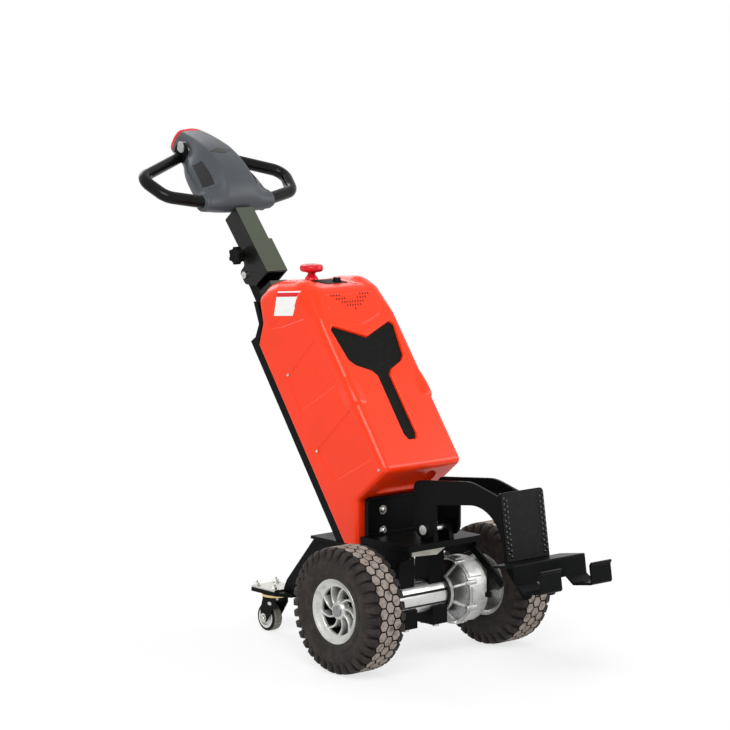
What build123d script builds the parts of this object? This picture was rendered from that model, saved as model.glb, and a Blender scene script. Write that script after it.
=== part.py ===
"""Walk-behind trolley pusher tug.

A driven axle with two pneumatic tyres carries a deck, a lifting hitch at the front and a leaning
battery cover.  Two swivel castors follow at the rear, and a hinged tiller rises to the operator.
X runs to the tug's left-to-right, Y from the hitch to the operator, Z up from the floor.
"""
import math
import os

from build123d import *

# Shared gaps.
seat_gap = 0.3
running_fit = 0.05
free_gap = 6.0

# Drive wheels.
tyre_radius = 165.0
tyre_width = 116.0
tread_half = 44.0
bead_radius = 77.0
bead_half = 36.0
wheel_track = 522.0
rim_wall = 6.0
rim_half = 38.0
rim_lip = 4.0
rim_disc_offset = 22.0
rim_disc_thick = 8.0
spoke_count = 9
window_inner = 32.0
window_outer = 62.0
hub_radius = 22.0
hub_flange_radius = 31.0
hub_flange_thick = 9.0
shaft_radius = 12.5
shaft_engagement = 42.0
hub_nut_radius = 15.0
hub_nut_length = 12.0

# Drive unit on the axle line.
axle_tube_radius = 43.5
axle_tube_end = 197.0
axle_groove_count = 8
axle_groove_width = 7.0
axle_groove_depth = 5.0
flange_start = 52.0
flange_thick = 10.0
flange_radius = 51.0
bell_length = 26.0
ring_radius = 87.0
ring_length = 64.0
rear_cone_length = 16.0
bell_rib_count = 8
bell_rib_thick = 6.0
ring_pad_count = 8
ring_pad_height = 4.0
motor_radius = 54.0
motor_length = 205.0

# Deck, rails and base.
deck_half = 130.0
deck_front = -85.0
deck_rear = 106.0
deck_top = 322.0
deck_thick = 10.0
skirt_depth = 6.0
skirt_thick = 6.0
rail_thick = 10.0
base_top = 298.0
base_thick = 8.0
base_rear = 300.0
bracket_half = 120.0
bracket_top = 424.0
bracket_front = 85.0
bracket_depth = 14.0
bracket_wall = 6.0
bracket_corner = 14.0

# Cross plate under the deck and the clamp around the axle tube.
cross_plate_y = -34.0
cross_plate_thick = 6.0
cross_plate_right = 34.0
cross_plate_tip = 14.0
cross_plate_depth = 34.0
clamp_half_width = 26.0
clamp_right = 20.0
clamp_rail_gap = 2.0
clamp_depth = 30.0
clamp_length = 84.0
saddle_length = 56.0
bolt_radius = 5.0
bolt_spread = 48.0
bolt_head_radius = 9.0
bolt_head_height = 8.0
stay_width = 20.0
stay_thick = 8.0
stay_reach = 168.0
stay_slope = 36.0
drop_rod_radius = 5.0
drop_rod_along = 92.0
drop_rod_foot = 166.0

# Castors.
castor_wheel_radius = 38.0
castor_wheel_width = 32.0
castor_core_radius = 28.0
castor_pivot_x = 112.0
castor_pivot_y = 482.0
castor_trail = 24.0
castor_axle_radius = 5.0
fork_plate_thick = 4.0
fork_half_inner = 19.5
fork_top_thick = 5.0
fork_top_radius = 31.0
fork_top = 105.0
race_height = 8.0
race_radius = 33.0
pad_length = 104.0
pad_width = 92.0
pad_thick = 5.0
frame_plate_thick = 10.0
king_pin_radius = 7.0

# Hitch: two plates that rise from a pin on the deck to a push plate and hooks.
hitch_tilt = 9.0
hitch_pin_y = -52.0
hitch_pin_z = 352.0
hitch_pin_radius = 9.0
arm_inner = 38.0
arm_thick = 8.0
arm_foot_rear = -10.0
arm_foot_front = -93.0
arm_foot_low = 332.0
arm_drop = 96.0
ear_height = 20.0
plate_foot_y = -389.0
plate_foot_z = 319.0
push_half = 76.0
push_height = 175.0
push_thick = 8.0
pad_face = 3.0
channel_half = 124.0
channel_reach = 78.0
channel_wall = 6.0
hook_inner = 53.0
hook_depth = 73.0
lip_reach = 165.0
lip_height = 57.0
lip_flare = 6.0

# Cover, backbone and battery lean back together.
cover_lean = 35.5
cover_half = 137.0
cover_wall = 6.0
cover_edge = 16.0
cover_face = 300.0
cover_ridge = (1068.0, 165.0)
cover_brow = (1028.0, 232.0)
emergency_knob_out = 190.0
head_rear = 290.0
backbone_front = 37.0
backbone_rear = 10.0
backbone_half = 132.0
backbone_wall = 4.0
backbone_top = 975.0
battery_half = 112.0
battery_low = 470.0
battery_high = 880.0
battery_depth = 205.0
recess_depth = 3.0
recess_insert_thick = 1.5
knob_stem_radius = 16.0
knob_stem_height = 24.0
knob_cap_radius = 32.0
knob_cap_height = 19.0

# Mast and column.
mast_half = 30.0
mast_front = 66.0
mast_wall = 4.0
mast_top = 1128.0
foot_thick = 8.0
foot_half = 42.0
foot_low = 880.0
foot_high = 1080.0
pivot_t = 1194.0
pivot_n = -10.0
column_extra_lean = 4.0
lug_half = 26.0
lug_radius = 14.0
column_pin_radius = 6.0
sleeve_half = 36.5
sleeve_wall = 5.0
sleeve_low = -50.0
sleeve_high = 62.0
sleeve_front = 86.0
column_depth = 60.0
column_low = 26.0
column_high = 176.0
star_knob_radius = 25.0
star_knob_thick = 20.0
star_knob_along = 47.0
star_knob_depth = 30.0

# Tiller head.
head_tilt = 33.0
barrel_y = 784.0
barrel_z = 1168.0
barrel_half = 122.0
grip_radius = 17.5
head_cap_thick = 18.0
cheek_radius = 29.0
cheek_u = 214.0
cheek_w = 18.0
cheek_outer = 68.0
lever_span = 34.0
lever_thick = 6.0

wheel_x = wheel_track / 2
rail_outer = deck_half - skirt_thick
axle_height = tyre_radius
rail_bottom = axle_height + ring_radius + ring_pad_height + free_gap
clamp_left = clamp_half_width + clamp_rail_gap + rail_thick - rail_outer
cross_plate_left = cross_plate_tip + 1 + rail_thick - rail_outer
lean_sin = math.sin(math.radians(cover_lean))
lean_cos = math.cos(math.radians(cover_lean))


def block(x_span, y_span, z_span):
    """A box given by its low and high limits on each axis."""
    centre = [(low + high) / 2 for low, high in (x_span, y_span, z_span)]
    size = [high - low for low, high in (x_span, y_span, z_span)]
    return Pos(*centre) * Box(*size)


def rod_x(radius, x_low, x_high, y, z):
    """A round bar along X."""
    return Pos((x_low + x_high) / 2, y, z) * Rot(0, 90, 0) * Cylinder(radius, x_high - x_low)


def rod_z(radius, z_low, z_high, x, y):
    """A round bar along Z."""
    return Pos(x, y, (z_low + z_high) / 2) * Cylinder(radius, z_high - z_low)


def side_plate(rows, x_low, x_high):
    """A plate between two X values, cut to rows of (y, z, corner radius)."""
    outline = FilletPolyline(*[row[:2] for row in rows], radius=[row[2] for row in rows], close=True)
    solid = extrude(make_face(outline.edges()), amount=x_high - x_low, dir=(0, 0, 1))
    return Plane(origin=(x_low, 0, 0), x_dir=(0, 1, 0), z_dir=(1, 0, 0)) * solid


def flat_plate(rows, low, high):
    """A plate between two heights, cut to rows of (x, y, corner radius)."""
    outline = FilletPolyline(*[row[:2] for row in rows], radius=[row[2] for row in rows], close=True)
    return Pos(0, 0, low) * extrude(make_face(outline.edges()), amount=high - low, dir=(0, 0, 1))


def leaned(along, out):
    """The (y, z) of a point along the lean from the floor, and out towards the front of it."""
    return along * lean_sin - out * lean_cos, along * lean_cos + out * lean_sin


def leaned_rows(rows):
    """Rows of (along, out, radius) as rows of (y, z, radius)."""
    return [(*leaned(along, out), radius) for along, out, radius in rows]


def both_sides(solid):
    """A right-hand solid with its mirror image."""
    return solid + mirror(solid, about=Plane.YZ)


hitch_sin = math.sin(math.radians(hitch_tilt))
hitch_cos = math.cos(math.radians(hitch_tilt))


def hitch_point(forward, up):
    """The (y, z) of a point in the hitch's own tilted directions from the push plate's foot."""
    y = plate_foot_y - forward * hitch_cos + up * hitch_sin
    return y, plate_foot_z + forward * hitch_sin + up * hitch_cos


def hitch_rows(rows):
    """Rows of (forward, up, radius) as rows of (y, z, radius)."""
    return [(*hitch_point(forward, up), radius) for forward, up, radius in rows]


column_lean = cover_lean + column_extra_lean
column_sin = math.sin(math.radians(column_lean))
column_cos = math.cos(math.radians(column_lean))
column_pivot = leaned(pivot_t, pivot_n)
column_front = sleeve_front - sleeve_wall - seat_gap
column_half = sleeve_half - sleeve_wall - seat_gap


def column_point(along, out):
    """The (y, z) of a point along the upper column and out to its front, from its hinge."""
    y = column_pivot[0] + along * column_sin - out * column_cos
    return y, column_pivot[1] + along * column_cos + out * column_sin


def column_rows(rows):
    """Rows of (along, out, radius) as rows of (y, z, radius)."""
    return [(*column_point(along, out), radius) for along, out, radius in rows]


# Drive wheels.


def tyre():
    """The tyre about the X axis, centred on its own middle."""
    side = tyre_width / 2
    rows = (
        # offset, radius, corner
        (-bead_half, bead_radius, 2),
        (-side, bead_radius + 24, 16),
        (-side, tyre_radius - 26, 16),
        (-tread_half, tyre_radius, 7),
        (tread_half, tyre_radius, 7),
        (side, tyre_radius - 26, 16),
        (side, bead_radius + 24, 16),
        (bead_half, bead_radius, 2),
    )
    outline = FilletPolyline(*[row[:2] for row in rows], radius=[row[2] for row in rows], close=True)
    return revolve(make_face(outline.edges()), axis=Axis.X)


def rim_window():
    """One slanted opening between two spokes, in the wheel's plane."""
    rows = (
        # radius, angle
        (window_inner, -9),
        (window_outer, -2),
        (window_outer, 27),
        (window_inner, 13),
    )
    corners = [
        (radius * math.cos(math.radians(angle)), radius * math.sin(math.radians(angle)))
        for radius, angle in rows
    ]
    outline = FilletPolyline(*corners, radius=3.5, close=True)
    return make_face(outline.edges())


def rim():
    """The rim about the X axis with its outer face towards +X."""
    seat = bead_radius - seat_gap
    barrel = Rot(0, 90, 0) * (Cylinder(seat, 2 * rim_half) - Cylinder(seat - rim_wall, 2 * rim_half))
    lip = Rot(0, 90, 0) * (Cylinder(bead_radius + 2, rim_lip) - Cylinder(seat - rim_wall, rim_lip))
    disc_middle = rim_disc_offset + rim_disc_thick / 2
    disc = Cylinder(seat - rim_wall / 2, rim_disc_thick)
    windows = [
        Rot(0, 0, 360 * index / spoke_count) * extrude(rim_window(), amount=rim_disc_thick, both=True)
        for index in range(spoke_count)
    ]
    disc -= windows
    disc -= Cylinder(hub_radius - 6 + seat_gap, 2 * rim_disc_thick)
    return barrel + Pos(rim_half + rim_lip / 2, 0, 0) * lip + Pos(disc_middle, 0, 0) * (Rot(0, 90, 0) * disc)


def hub():
    """The driven hub with its shaft, about the X axis, outer end towards +X."""
    shaft_inner = axle_tube_end - shaft_engagement - wheel_x
    boss_inner = axle_tube_end + free_gap - wheel_x
    boss_outer = rim_disc_offset
    nut_outer = rim_disc_offset + rim_disc_thick + hub_nut_length
    shaft = rod_x(shaft_radius, shaft_inner, boss_outer, 0, 0)
    boss = rod_x(hub_radius, boss_inner, boss_outer, 0, 0)
    flange = rod_x(hub_flange_radius, boss_outer - hub_flange_thick, boss_outer, 0, 0)
    spigot = rod_x(hub_radius - 6, boss_outer, boss_outer + rim_disc_thick, 0, 0)
    nut = rod_x(hub_nut_radius, boss_outer + rim_disc_thick, nut_outer, 0, 0)
    return shaft + boss + flange + spigot + nut


# Drive unit.


def axle_tube():
    """The grooved aluminium tube on the left of the gearbox."""
    tube = rod_x(axle_tube_radius, -axle_tube_end, flange_start, 0, axle_height)
    groove_middle = axle_tube_radius
    for index in range(axle_groove_count):
        angle = 360 * (index + 0.5) / axle_groove_count
        groove = Pos(0, 0, groove_middle) * Box(2 * axle_tube_end, axle_groove_width, 2 * axle_groove_depth)
        tube -= Pos((flange_start - axle_tube_end) / 2, 0, axle_height) * (Rot(angle, 0, 0) * groove)
    bore_end = -axle_tube_end + shaft_engagement + 4
    tube -= rod_x(shaft_radius + running_fit, -axle_tube_end - 1, bore_end, 0, axle_height)
    return tube


def gearbox():
    """The ribbed bell, ring housing and right-hand tube."""
    bell_start = flange_start + flange_thick
    ring_start = bell_start + bell_length
    ring_end = ring_start + ring_length
    rows = (
        # x, radius
        (flange_start, 0),
        (flange_start, flange_radius),
        (bell_start, flange_radius),
        (bell_start, flange_radius - 4),
        (ring_start, ring_radius - 5),
        (ring_start, ring_radius),
        (ring_end, ring_radius),
        (ring_end, ring_radius - 6),
        (ring_end + rear_cone_length, axle_tube_radius + 6),
        (ring_end + rear_cone_length, axle_tube_radius),
        (axle_tube_end, axle_tube_radius),
        (axle_tube_end, 0),
    )
    body = revolve(make_face(Polyline(*rows, close=True).edges()), axis=Axis.X)
    rib_rows = (
        (bell_start, flange_radius - 12),
        (bell_start, flange_radius + 4),
        (ring_start, ring_radius - 1),
        (ring_start, flange_radius - 12),
    )
    rib_face = make_face(Polyline(*rib_rows, close=True).edges())
    rib = extrude(rib_face, amount=bell_rib_thick / 2, both=True)
    for index in range(bell_rib_count):
        body += Rot(360 * (index + 0.5) / bell_rib_count, 0, 0) * rib
    pad_span = 2 * math.pi * ring_radius / ring_pad_count * 0.62
    pad_top = ring_radius + ring_pad_height
    pad = block(
        (ring_start + 6, ring_end - 14),
        (-pad_span / 2, pad_span / 2),
        (ring_radius - 22, pad_top),
    )
    pad_limit = rod_x(pad_top, ring_start, ring_end, 0, 0)
    for index in range(ring_pad_count):
        body += (Rot(360 * index / ring_pad_count, 0, 0) * pad) & pad_limit
    body -= rod_x(shaft_radius + running_fit, axle_tube_end - shaft_engagement - 4, axle_tube_end + 1, 0, 0)
    return Pos(0, 0, axle_height) * body


def motor_x():
    """The X of the motor's axis, the middle of the ring housing."""
    return flange_start + flange_thick + bell_length + ring_length / 2


def motor():
    """The drive motor, lying back from the ring housing."""
    outer_reach = ring_radius + ring_pad_height
    body = Pos(motor_x(), motor_length / 2, axle_height) * Rot(90, 0, 0) * Cylinder(
        motor_radius, motor_length
    )
    body = Pos(0, outer_reach - 60, 0) * body
    return body - rod_x(outer_reach, -axle_tube_end, axle_tube_end, 0, axle_height)


# Deck, rails and base.


def deck():
    """The folded black deck in front of the cover."""
    rows = (
        (-deck_half, deck_front, 8),
        (deck_half, deck_front, 8),
        (deck_half, deck_rear, 0),
        (-deck_half, deck_rear, 0),
    )
    solid = flat_plate(rows, deck_top - deck_thick - skirt_depth, deck_top)
    hollow = block(
        (skirt_thick - deck_half, deck_half - skirt_thick),
        (deck_front + skirt_thick, deck_rear + 1),
        (deck_top - deck_thick - skirt_depth - 1, deck_top - deck_thick),
    )
    return solid - hollow


def rail(side):
    """One side rail with the arm that drops to its castor."""
    foot = castor_plate_top()
    front = deck_front + skirt_thick
    under_deck = deck_top - deck_thick
    base_low = base_top - base_thick
    arm_rear = castor_pivot_y - pad_length / 2
    rows = (
        (front, rail_bottom + 26, 6),
        (front, under_deck, 0),
        (deck_rear, under_deck, 0),
        (deck_rear, base_low, 0),
        (base_rear, base_low, 6),
        (arm_rear - 12, foot + 34, 24),
        (arm_rear, foot + 10, 4),
        (arm_rear, foot, 0),
        (arm_rear - 44, foot, 8),
        (base_rear - 60, rail_bottom, 30),
        (front + 60, rail_bottom, 20),
    )
    plate = side_plate(rows, rail_outer - rail_thick, rail_outer)
    return plate if side > 0 else mirror(plate, about=Plane.YZ)


def base_plate():
    """The plate behind the deck on which the cover and its backbone stand."""
    return block((-cover_half, cover_half), (deck_rear, base_rear), (base_top - base_thick, base_top))


def deck_bracket():
    """The bolted box with a recessed face between the deck and the cover."""
    rows = (
        # x, z
        (-bracket_half, deck_top),
        (bracket_half, deck_top),
        (bracket_half, bracket_top),
        (-bracket_half, bracket_top),
    )
    radii = (0, 0, bracket_corner, bracket_corner)
    face = make_face(FilletPolyline(*rows, radius=radii, close=True).edges())
    solid = extrude(face, amount=bracket_depth, dir=(0, 0, 1))
    inset = bracket_wall
    inner_rows = (
        (-bracket_half + inset, deck_top + inset),
        (bracket_half - inset, deck_top + inset),
        (bracket_half - inset, bracket_top - inset),
        (-bracket_half + inset, bracket_top - inset),
    )
    inner = make_face(FilletPolyline(*inner_rows, radius=bracket_corner - inset, close=True).edges())
    solid -= extrude(inner, amount=bracket_wall, dir=(0, 0, 1))
    return Plane(origin=(0, bracket_front, 0), x_dir=(1, 0, 0), z_dir=(0, 1, 0)) * (
        mirror(solid, about=Plane.XZ)
    )


def cross_plate():
    """The light upright plate under the deck, with cut corners."""
    top = deck_top - deck_thick
    rows = (
        # x, z
        (cross_plate_left - cross_plate_tip, top - 20),
        (cross_plate_left, top),
        (cross_plate_right, top),
        (cross_plate_right + cross_plate_tip, top - 14),
        (cross_plate_right - 24, top - cross_plate_depth),
        (cross_plate_left + 6, top - cross_plate_depth + 6),
    )
    face = make_face(Polyline(*rows, close=True).edges())
    solid = extrude(face, amount=cross_plate_thick, dir=(0, 0, 1))
    return Plane(origin=(0, cross_plate_y, 0), x_dir=(1, 0, 0), z_dir=(0, -1, 0)) * solid


def at_clamps(solid):
    """Copies of a solid at each clamp's place along the axle."""
    return Pos(clamp_left, 0, 0) * solid + Pos(clamp_right, 0, 0) * solid


def axle_bore():
    """The round clearance for the axle tube in its clamps and saddles."""
    return rod_x(axle_tube_radius + seat_gap, -axle_tube_end, axle_tube_end, 0, axle_height)


def clamp_low():
    """The underside of the axle clamps."""
    return axle_height - axle_tube_radius - clamp_depth


def clamp_bolt(y):
    """One bolt that holds a clamp to the axle tube from below."""
    shank = rod_z(bolt_radius, clamp_low() - 1, axle_height, 0, y)
    head = rod_z(bolt_head_radius, clamp_low() - bolt_head_height, clamp_low(), 0, y)
    return shank + head


def clamp_bolts():
    """The bolts of both clamps."""
    pair_of_bolts = clamp_bolt(-bolt_spread / 2) + clamp_bolt(bolt_spread / 2)
    return at_clamps(pair_of_bolts) - axle_bore()


def axle_clamps():
    """The black blocks under the axle tube."""
    half = clamp_length / 2
    body = block((-clamp_half_width, clamp_half_width), (-half, half), (clamp_low(), axle_height - 24))
    body -= clamp_bolt(-bolt_spread / 2)
    body -= clamp_bolt(bolt_spread / 2)
    return at_clamps(body) - axle_bore()


def axle_saddles():
    """The black blocks between the axle tube and the deck."""
    half = saddle_length / 2
    under_deck = deck_top - deck_thick
    body = block((-clamp_half_width, clamp_half_width), (-half, half), (axle_height, under_deck))
    return at_clamps(body) - axle_bore()


def torque_stay():
    """The stay that runs forward and down from the deck's right corner, with its hanging rod."""
    top_y = deck_front + skirt_thick + 22
    top_z = deck_top - deck_thick
    stay_x = rail_outer - rail_thick - stay_thick
    bar = Rot(-stay_slope, 0, 0) * block((0, stay_thick), (-stay_reach, 0), (-stay_width, 0))
    bar = Pos(stay_x, top_y, top_z) * (Rot(2 * stay_slope, 0, 0) * bar)
    bar -= block((0, 2 * stay_x), (top_y - stay_reach, top_y + stay_reach), (top_z, top_z + stay_reach))
    rod_y = top_y - drop_rod_along * math.cos(math.radians(stay_slope))
    rod_high = top_z - drop_rod_along * math.sin(math.radians(stay_slope)) - stay_width / 2
    middle = stay_x + stay_thick / 2
    rod = rod_z(drop_rod_radius, drop_rod_foot, rod_high, middle, rod_y)
    nut = rod_z(drop_rod_radius + 4, drop_rod_foot, drop_rod_foot + 11, middle, rod_y)
    return bar + rod + nut


# Castors.


def castor_plate_low():
    """The underside of the frame plate over each castor."""
    return fork_top + race_height


def castor_plate_top():
    """The upper face of the frame plate over each castor."""
    return castor_plate_low() + frame_plate_thick


def castor_mount(side):
    """The tapered frame plate over one castor."""
    half_w = pad_width / 2
    front = castor_pivot_y - pad_length / 2
    rear = castor_pivot_y + pad_length / 2
    rows = (
        (castor_pivot_x - half_w, front, 6),
        (castor_pivot_x - half_w + 24, front - 46, 6),
        (castor_pivot_x + half_w - 24, front - 46, 6),
        (castor_pivot_x + half_w, front, 6),
        (castor_pivot_x + half_w, rear, 6),
        (castor_pivot_x - half_w, rear, 6),
    )
    plate = flat_plate(rows, castor_plate_low(), castor_plate_top())
    plate -= rod_z(king_pin_radius, 0, deck_top, castor_pivot_x, castor_pivot_y)
    return plate if side > 0 else mirror(plate, about=Plane.YZ)


def castor_pad():
    """The zinc pad on the frame plate with the king pin below it, about the castor's pivot."""
    low = castor_plate_top()
    half_x = pad_width / 2 - 3
    half_y = pad_length / 2 - 3
    under_fork = fork_top - fork_top_thick
    pad = block((-half_x, half_x), (-half_y, half_y), (low, low + pad_thick))
    pin = rod_z(king_pin_radius, under_fork - 6, low, 0, 0)
    head = rod_z(king_pin_radius + 5, under_fork - 10, under_fork - seat_gap, 0, 0)
    return pad + pin + head


def castor_fork():
    """The pressed fork with its race about its pivot, its wheel trailing to the rear."""
    top_low = fork_top - fork_top_thick
    top = rod_z(fork_top_radius, top_low, fork_top, 0, 0)
    rows = (
        (-fork_top_radius + 4, fork_top, 0),
        (-fork_top_radius + 4, top_low - 16, 6),
        (castor_trail - 11, castor_wheel_radius - 11, 10),
        (castor_trail + 11, castor_wheel_radius - 11, 10),
        (castor_trail + 13, castor_wheel_radius + 22, 10),
        (fork_top_radius - 4, top_low - 8, 3),
        (fork_top_radius - 4, fork_top, 0),
    )
    outer = fork_half_inner + fork_plate_thick
    cheek = side_plate(rows, fork_half_inner, outer)
    race = rod_z(race_radius, fork_top, fork_top + race_height - seat_gap, 0, 0)
    fork = top + race + cheek + mirror(cheek, about=Plane.YZ)
    fork -= rod_z(king_pin_radius + running_fit, 0, fork_top + race_height, 0, 0)
    fork += rod_x(castor_axle_radius, -outer - 4, outer + 4, castor_trail, castor_wheel_radius)
    return fork


def castor_tyre():
    """The castor's tread about the X axis."""
    half = castor_wheel_width / 2
    rows = (
        (-half + 3, castor_core_radius, 0),
        (-half, castor_core_radius + 3, 2),
        (-half + 4, castor_wheel_radius, 4),
        (half - 4, castor_wheel_radius, 4),
        (half, castor_core_radius + 3, 2),
        (half - 3, castor_core_radius, 0),
    )
    outline = FilletPolyline(*[row[:2] for row in rows], radius=[row[2] for row in rows], close=True)
    return revolve(make_face(outline.edges()), axis=Axis.X)


def castor_core():
    """The castor's hub about the X axis, dished between rim and boss."""
    half = castor_wheel_width / 2
    core = Cylinder(castor_core_radius, castor_wheel_width - 6)
    dish = Cylinder(castor_core_radius - 5, 8) - Cylinder(11, 8)
    core -= Pos(0, 0, half - 3) * dish
    core -= Pos(0, 0, 3 - half) * dish
    core += Cylinder(11, castor_wheel_width + 2)
    core -= Cylinder(castor_axle_radius + running_fit, 2 * castor_wheel_width)
    return Rot(0, 90, 0) * core


# Hitch.


def arm(side):
    """One hitch plate: foot on the deck, arch over the axle, lower end behind the channel."""
    back = -push_thick
    rows = (
        (arm_foot_rear, arm_foot_low, 34),
        (arm_foot_rear, 478, 24),
        (-225, 501, 130),
        (*hitch_point(back, push_height - 24), 4),
        (*hitch_point(back, -channel_wall), 0),
        (*hitch_point(34, -channel_wall), 3),
        (*hitch_point(42, -arm_drop), 12),
        (*hitch_point(15, -arm_drop), 12),
        (*hitch_point(-34, -24), 20),
        (-318, 452, 108),
        (arm_foot_front, 423, 12),
        (arm_foot_front, arm_foot_low, 30),
    )
    plate = side_plate(rows, arm_inner, arm_inner + arm_thick)
    plate -= rod_x(hitch_pin_radius, 0, arm_inner + arm_thick + 1, hitch_pin_y, hitch_pin_z)
    return plate if side > 0 else mirror(plate, about=Plane.YZ)


def hitch_pin():
    """The hinge pin through both arms and the ear block."""
    reach = arm_inner + arm_thick + 5
    pin = rod_x(hitch_pin_radius, -reach, reach, hitch_pin_y, hitch_pin_z)
    for side in (-1, 1):
        end = side * (reach - 2)
        pin += rod_x(hitch_pin_radius + 4, end - 2.5, end + 2.5, hitch_pin_y, hitch_pin_z)
    return pin


def ear_block():
    """The block on the deck between the arms that carries the hinge pin."""
    half = arm_inner - 2
    rows = (
        (hitch_pin_y - 26, deck_top, 0),
        (hitch_pin_y + 26, deck_top, 0),
        (hitch_pin_y + ear_height, hitch_pin_z + ear_height, 16),
        (hitch_pin_y - ear_height, hitch_pin_z + ear_height, 16),
    )
    ear = side_plate(rows, half - 16, half)
    ears = both_sides(ear)
    return ears - rod_x(hitch_pin_radius + running_fit, -half - 1, half + 1, hitch_pin_y, hitch_pin_z)


def push_plate():
    """The upright plate that bears on the trolley."""
    rows = (
        # x, height along the plate
        (-push_half, 0),
        (push_half, 0),
        (push_half, push_height),
        (-push_half, push_height),
    )
    face = make_face(FilletPolyline(*rows, radius=(0, 0, 10, 10), close=True).edges())
    return tilted(extrude(face, amount=push_thick, dir=(0, 0, 1)), -push_thick)


def push_pad():
    """The studded rubber face of the push plate."""
    half = push_half - 2
    rows = ((-half, 2), (half, 2), (half, push_height - 2), (-half, push_height - 2))
    face = make_face(FilletPolyline(*rows, radius=(1, 1, 9, 9), close=True).edges())
    return tilted(extrude(face, amount=pad_face, dir=(0, 0, 1)), 0)


def tilted(solid, forward):
    """A solid drawn on (x, up) with its depth forward, set on the hitch's tilted frame."""
    y, z = hitch_point(forward, 0)
    frame = Plane(origin=(0, y, z), x_dir=(1, 0, 0), z_dir=(0, -hitch_cos, hitch_sin))
    return frame * solid


def hitch_channel():
    """The web forward of the push plate and the back wall that the hooks hang from."""
    rows = (
        (-push_thick, 0, 0),
        (channel_reach, 0, 3),
        (channel_reach, -50, 0),
        (channel_reach - channel_wall, -50, 0),
        (channel_reach - channel_wall, -channel_wall, 2),
        (-push_thick, -channel_wall, 0),
    )
    return side_plate(hitch_rows(rows), -channel_half, channel_half)


def hitch_hook(side):
    """One hook: from the back wall forward along its floor and up to the flared lip."""
    wall = channel_wall
    rows = (
        (channel_reach - wall, -50, 0),
        (channel_reach, -50, 0),
        (channel_reach + 21, -hook_depth + wall, 4),
        (lip_reach - wall, -hook_depth + wall, 4),
        (lip_reach - wall, -hook_depth + lip_height - 8, 0),
        (lip_reach + lip_flare - wall, -hook_depth + lip_height, 0),
        (lip_reach + lip_flare, -hook_depth + lip_height - 2, 0),
        (lip_reach, -hook_depth + lip_height - 11, 0),
        (lip_reach, -hook_depth, 8),
        (channel_reach + 18, -hook_depth, 8),
    )
    hook = side_plate(hitch_rows(rows), hook_inner, channel_half)
    return hook if side > 0 else mirror(hook, about=Plane.YZ)


# Cover, backbone, battery and controls.


def cover_rows():
    """The cover's side outline: along the lean, out to the front, corner radius."""
    return (
        (948, backbone_front, 4),
        (990, 84, 4),
        (1054, 98, 12),
        (*cover_ridge, 16),
        (*cover_brow, 22),
        (925, 277, 60),
        (830, cover_face, 60),
        (412, cover_face, 16),
    )


def cover_outline(inset):
    """The closed side outline, drawn in by an inset from the outer skin."""
    front_low_y = 113.0
    turn_z = 417.0
    back_low = (base_top - backbone_front * lean_sin) / lean_cos
    rows = [(front_low_y, base_top, 0), (*leaned(back_low, backbone_front), 0)]
    rows += leaned_rows(cover_rows())
    rows.append((front_low_y, turn_z, 24))
    face = make_face(
        FilletPolyline(*[row[:2] for row in rows], radius=[row[2] for row in rows], close=True).edges()
    )
    if inset:
        face = offset(face, amount=-inset, kind=Kind.INTERSECTION)
    return face


def cover_block():
    """The cover's outer form as one solid, its side edges rounded."""
    frame = Plane(origin=(0, 0, 0), x_dir=(0, 1, 0), z_dir=(1, 0, 0))
    solid = frame * extrude(cover_outline(0), amount=cover_half, both=True)
    side_edges = [edge for edge in solid.edges() if abs(abs(edge.center().X) - cover_half) < 0.01]
    return fillet(side_edges, cover_edge)


def cover():
    """The hollow battery cover, open at its foot."""
    frame = Plane(origin=(0, 0, 0), x_dir=(0, 1, 0), z_dir=(1, 0, 0))
    outer = cover_block()
    inner = frame * extrude(cover_outline(cover_wall), amount=cover_half - cover_wall, both=True)
    inner_half = cover_half - cover_wall
    foot = block((-inner_half, inner_half), (122, 158), (base_top - 1, base_top + 20))
    shell = outer - inner - foot
    shell -= recess_cut(recess_depth)
    return shell


def recess_face():
    """The forked recess on the cover's face: x, distance along the lean."""
    rows = (
        (0, 776, 8),
        (-92, 812, 6),
        (-110, 790, 8),
        (-96, 744, 10),
        (-60, 714, 14),
        (-30, 700, 20),
        (-16, 540, 5),
        (-12, 528, 5),
        (12, 528, 5),
        (16, 540, 5),
        (30, 700, 20),
        (60, 714, 14),
        (96, 744, 10),
        (110, 790, 8),
        (92, 812, 6),
    )
    outline = FilletPolyline(*[row[:2] for row in rows], radius=[row[2] for row in rows], close=True)
    return make_face(outline.edges())


def on_cover_face(solid, out):
    """A solid drawn on (x, along) with its depth outwards, set at a level of the lean."""
    y, z = leaned(0, out)
    frame = Plane(origin=(0, y, z), x_dir=(1, 0, 0), z_dir=(0, -lean_cos, lean_sin))
    return frame * solid


def recess_cut(depth):
    """The pocket of the recess."""
    return on_cover_face(extrude(recess_face(), amount=depth + 5, dir=(0, 0, 1)), cover_face - depth)


def recess_insert():
    """The matt black sheet in the recess."""
    return on_cover_face(
        extrude(recess_face(), amount=recess_insert_thick, dir=(0, 0, 1)), cover_face - recess_depth
    )


def backbone_slab(inset, half):
    """The spine's side outline drawn in by an inset, as a slab of a half width."""
    front = backbone_front - inset
    low = base_top + inset
    rows = leaned_rows(
        (
            ((low - backbone_rear * lean_sin) / lean_cos, backbone_rear, 0),
            ((low - front * lean_sin) / lean_cos, front, 0),
            (backbone_top - 27, front, 0),
            (backbone_top - inset, backbone_rear + 20, 0),
            (backbone_top - inset, backbone_rear, 0),
        )
    )
    return side_plate(rows, -half, half)


def backbone():
    """The black channel behind the cover, open to the rear, standing on the base plate."""
    outer = backbone_slab(0, backbone_half)
    return outer - backbone_slab(backbone_wall, backbone_half - backbone_wall)


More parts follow.
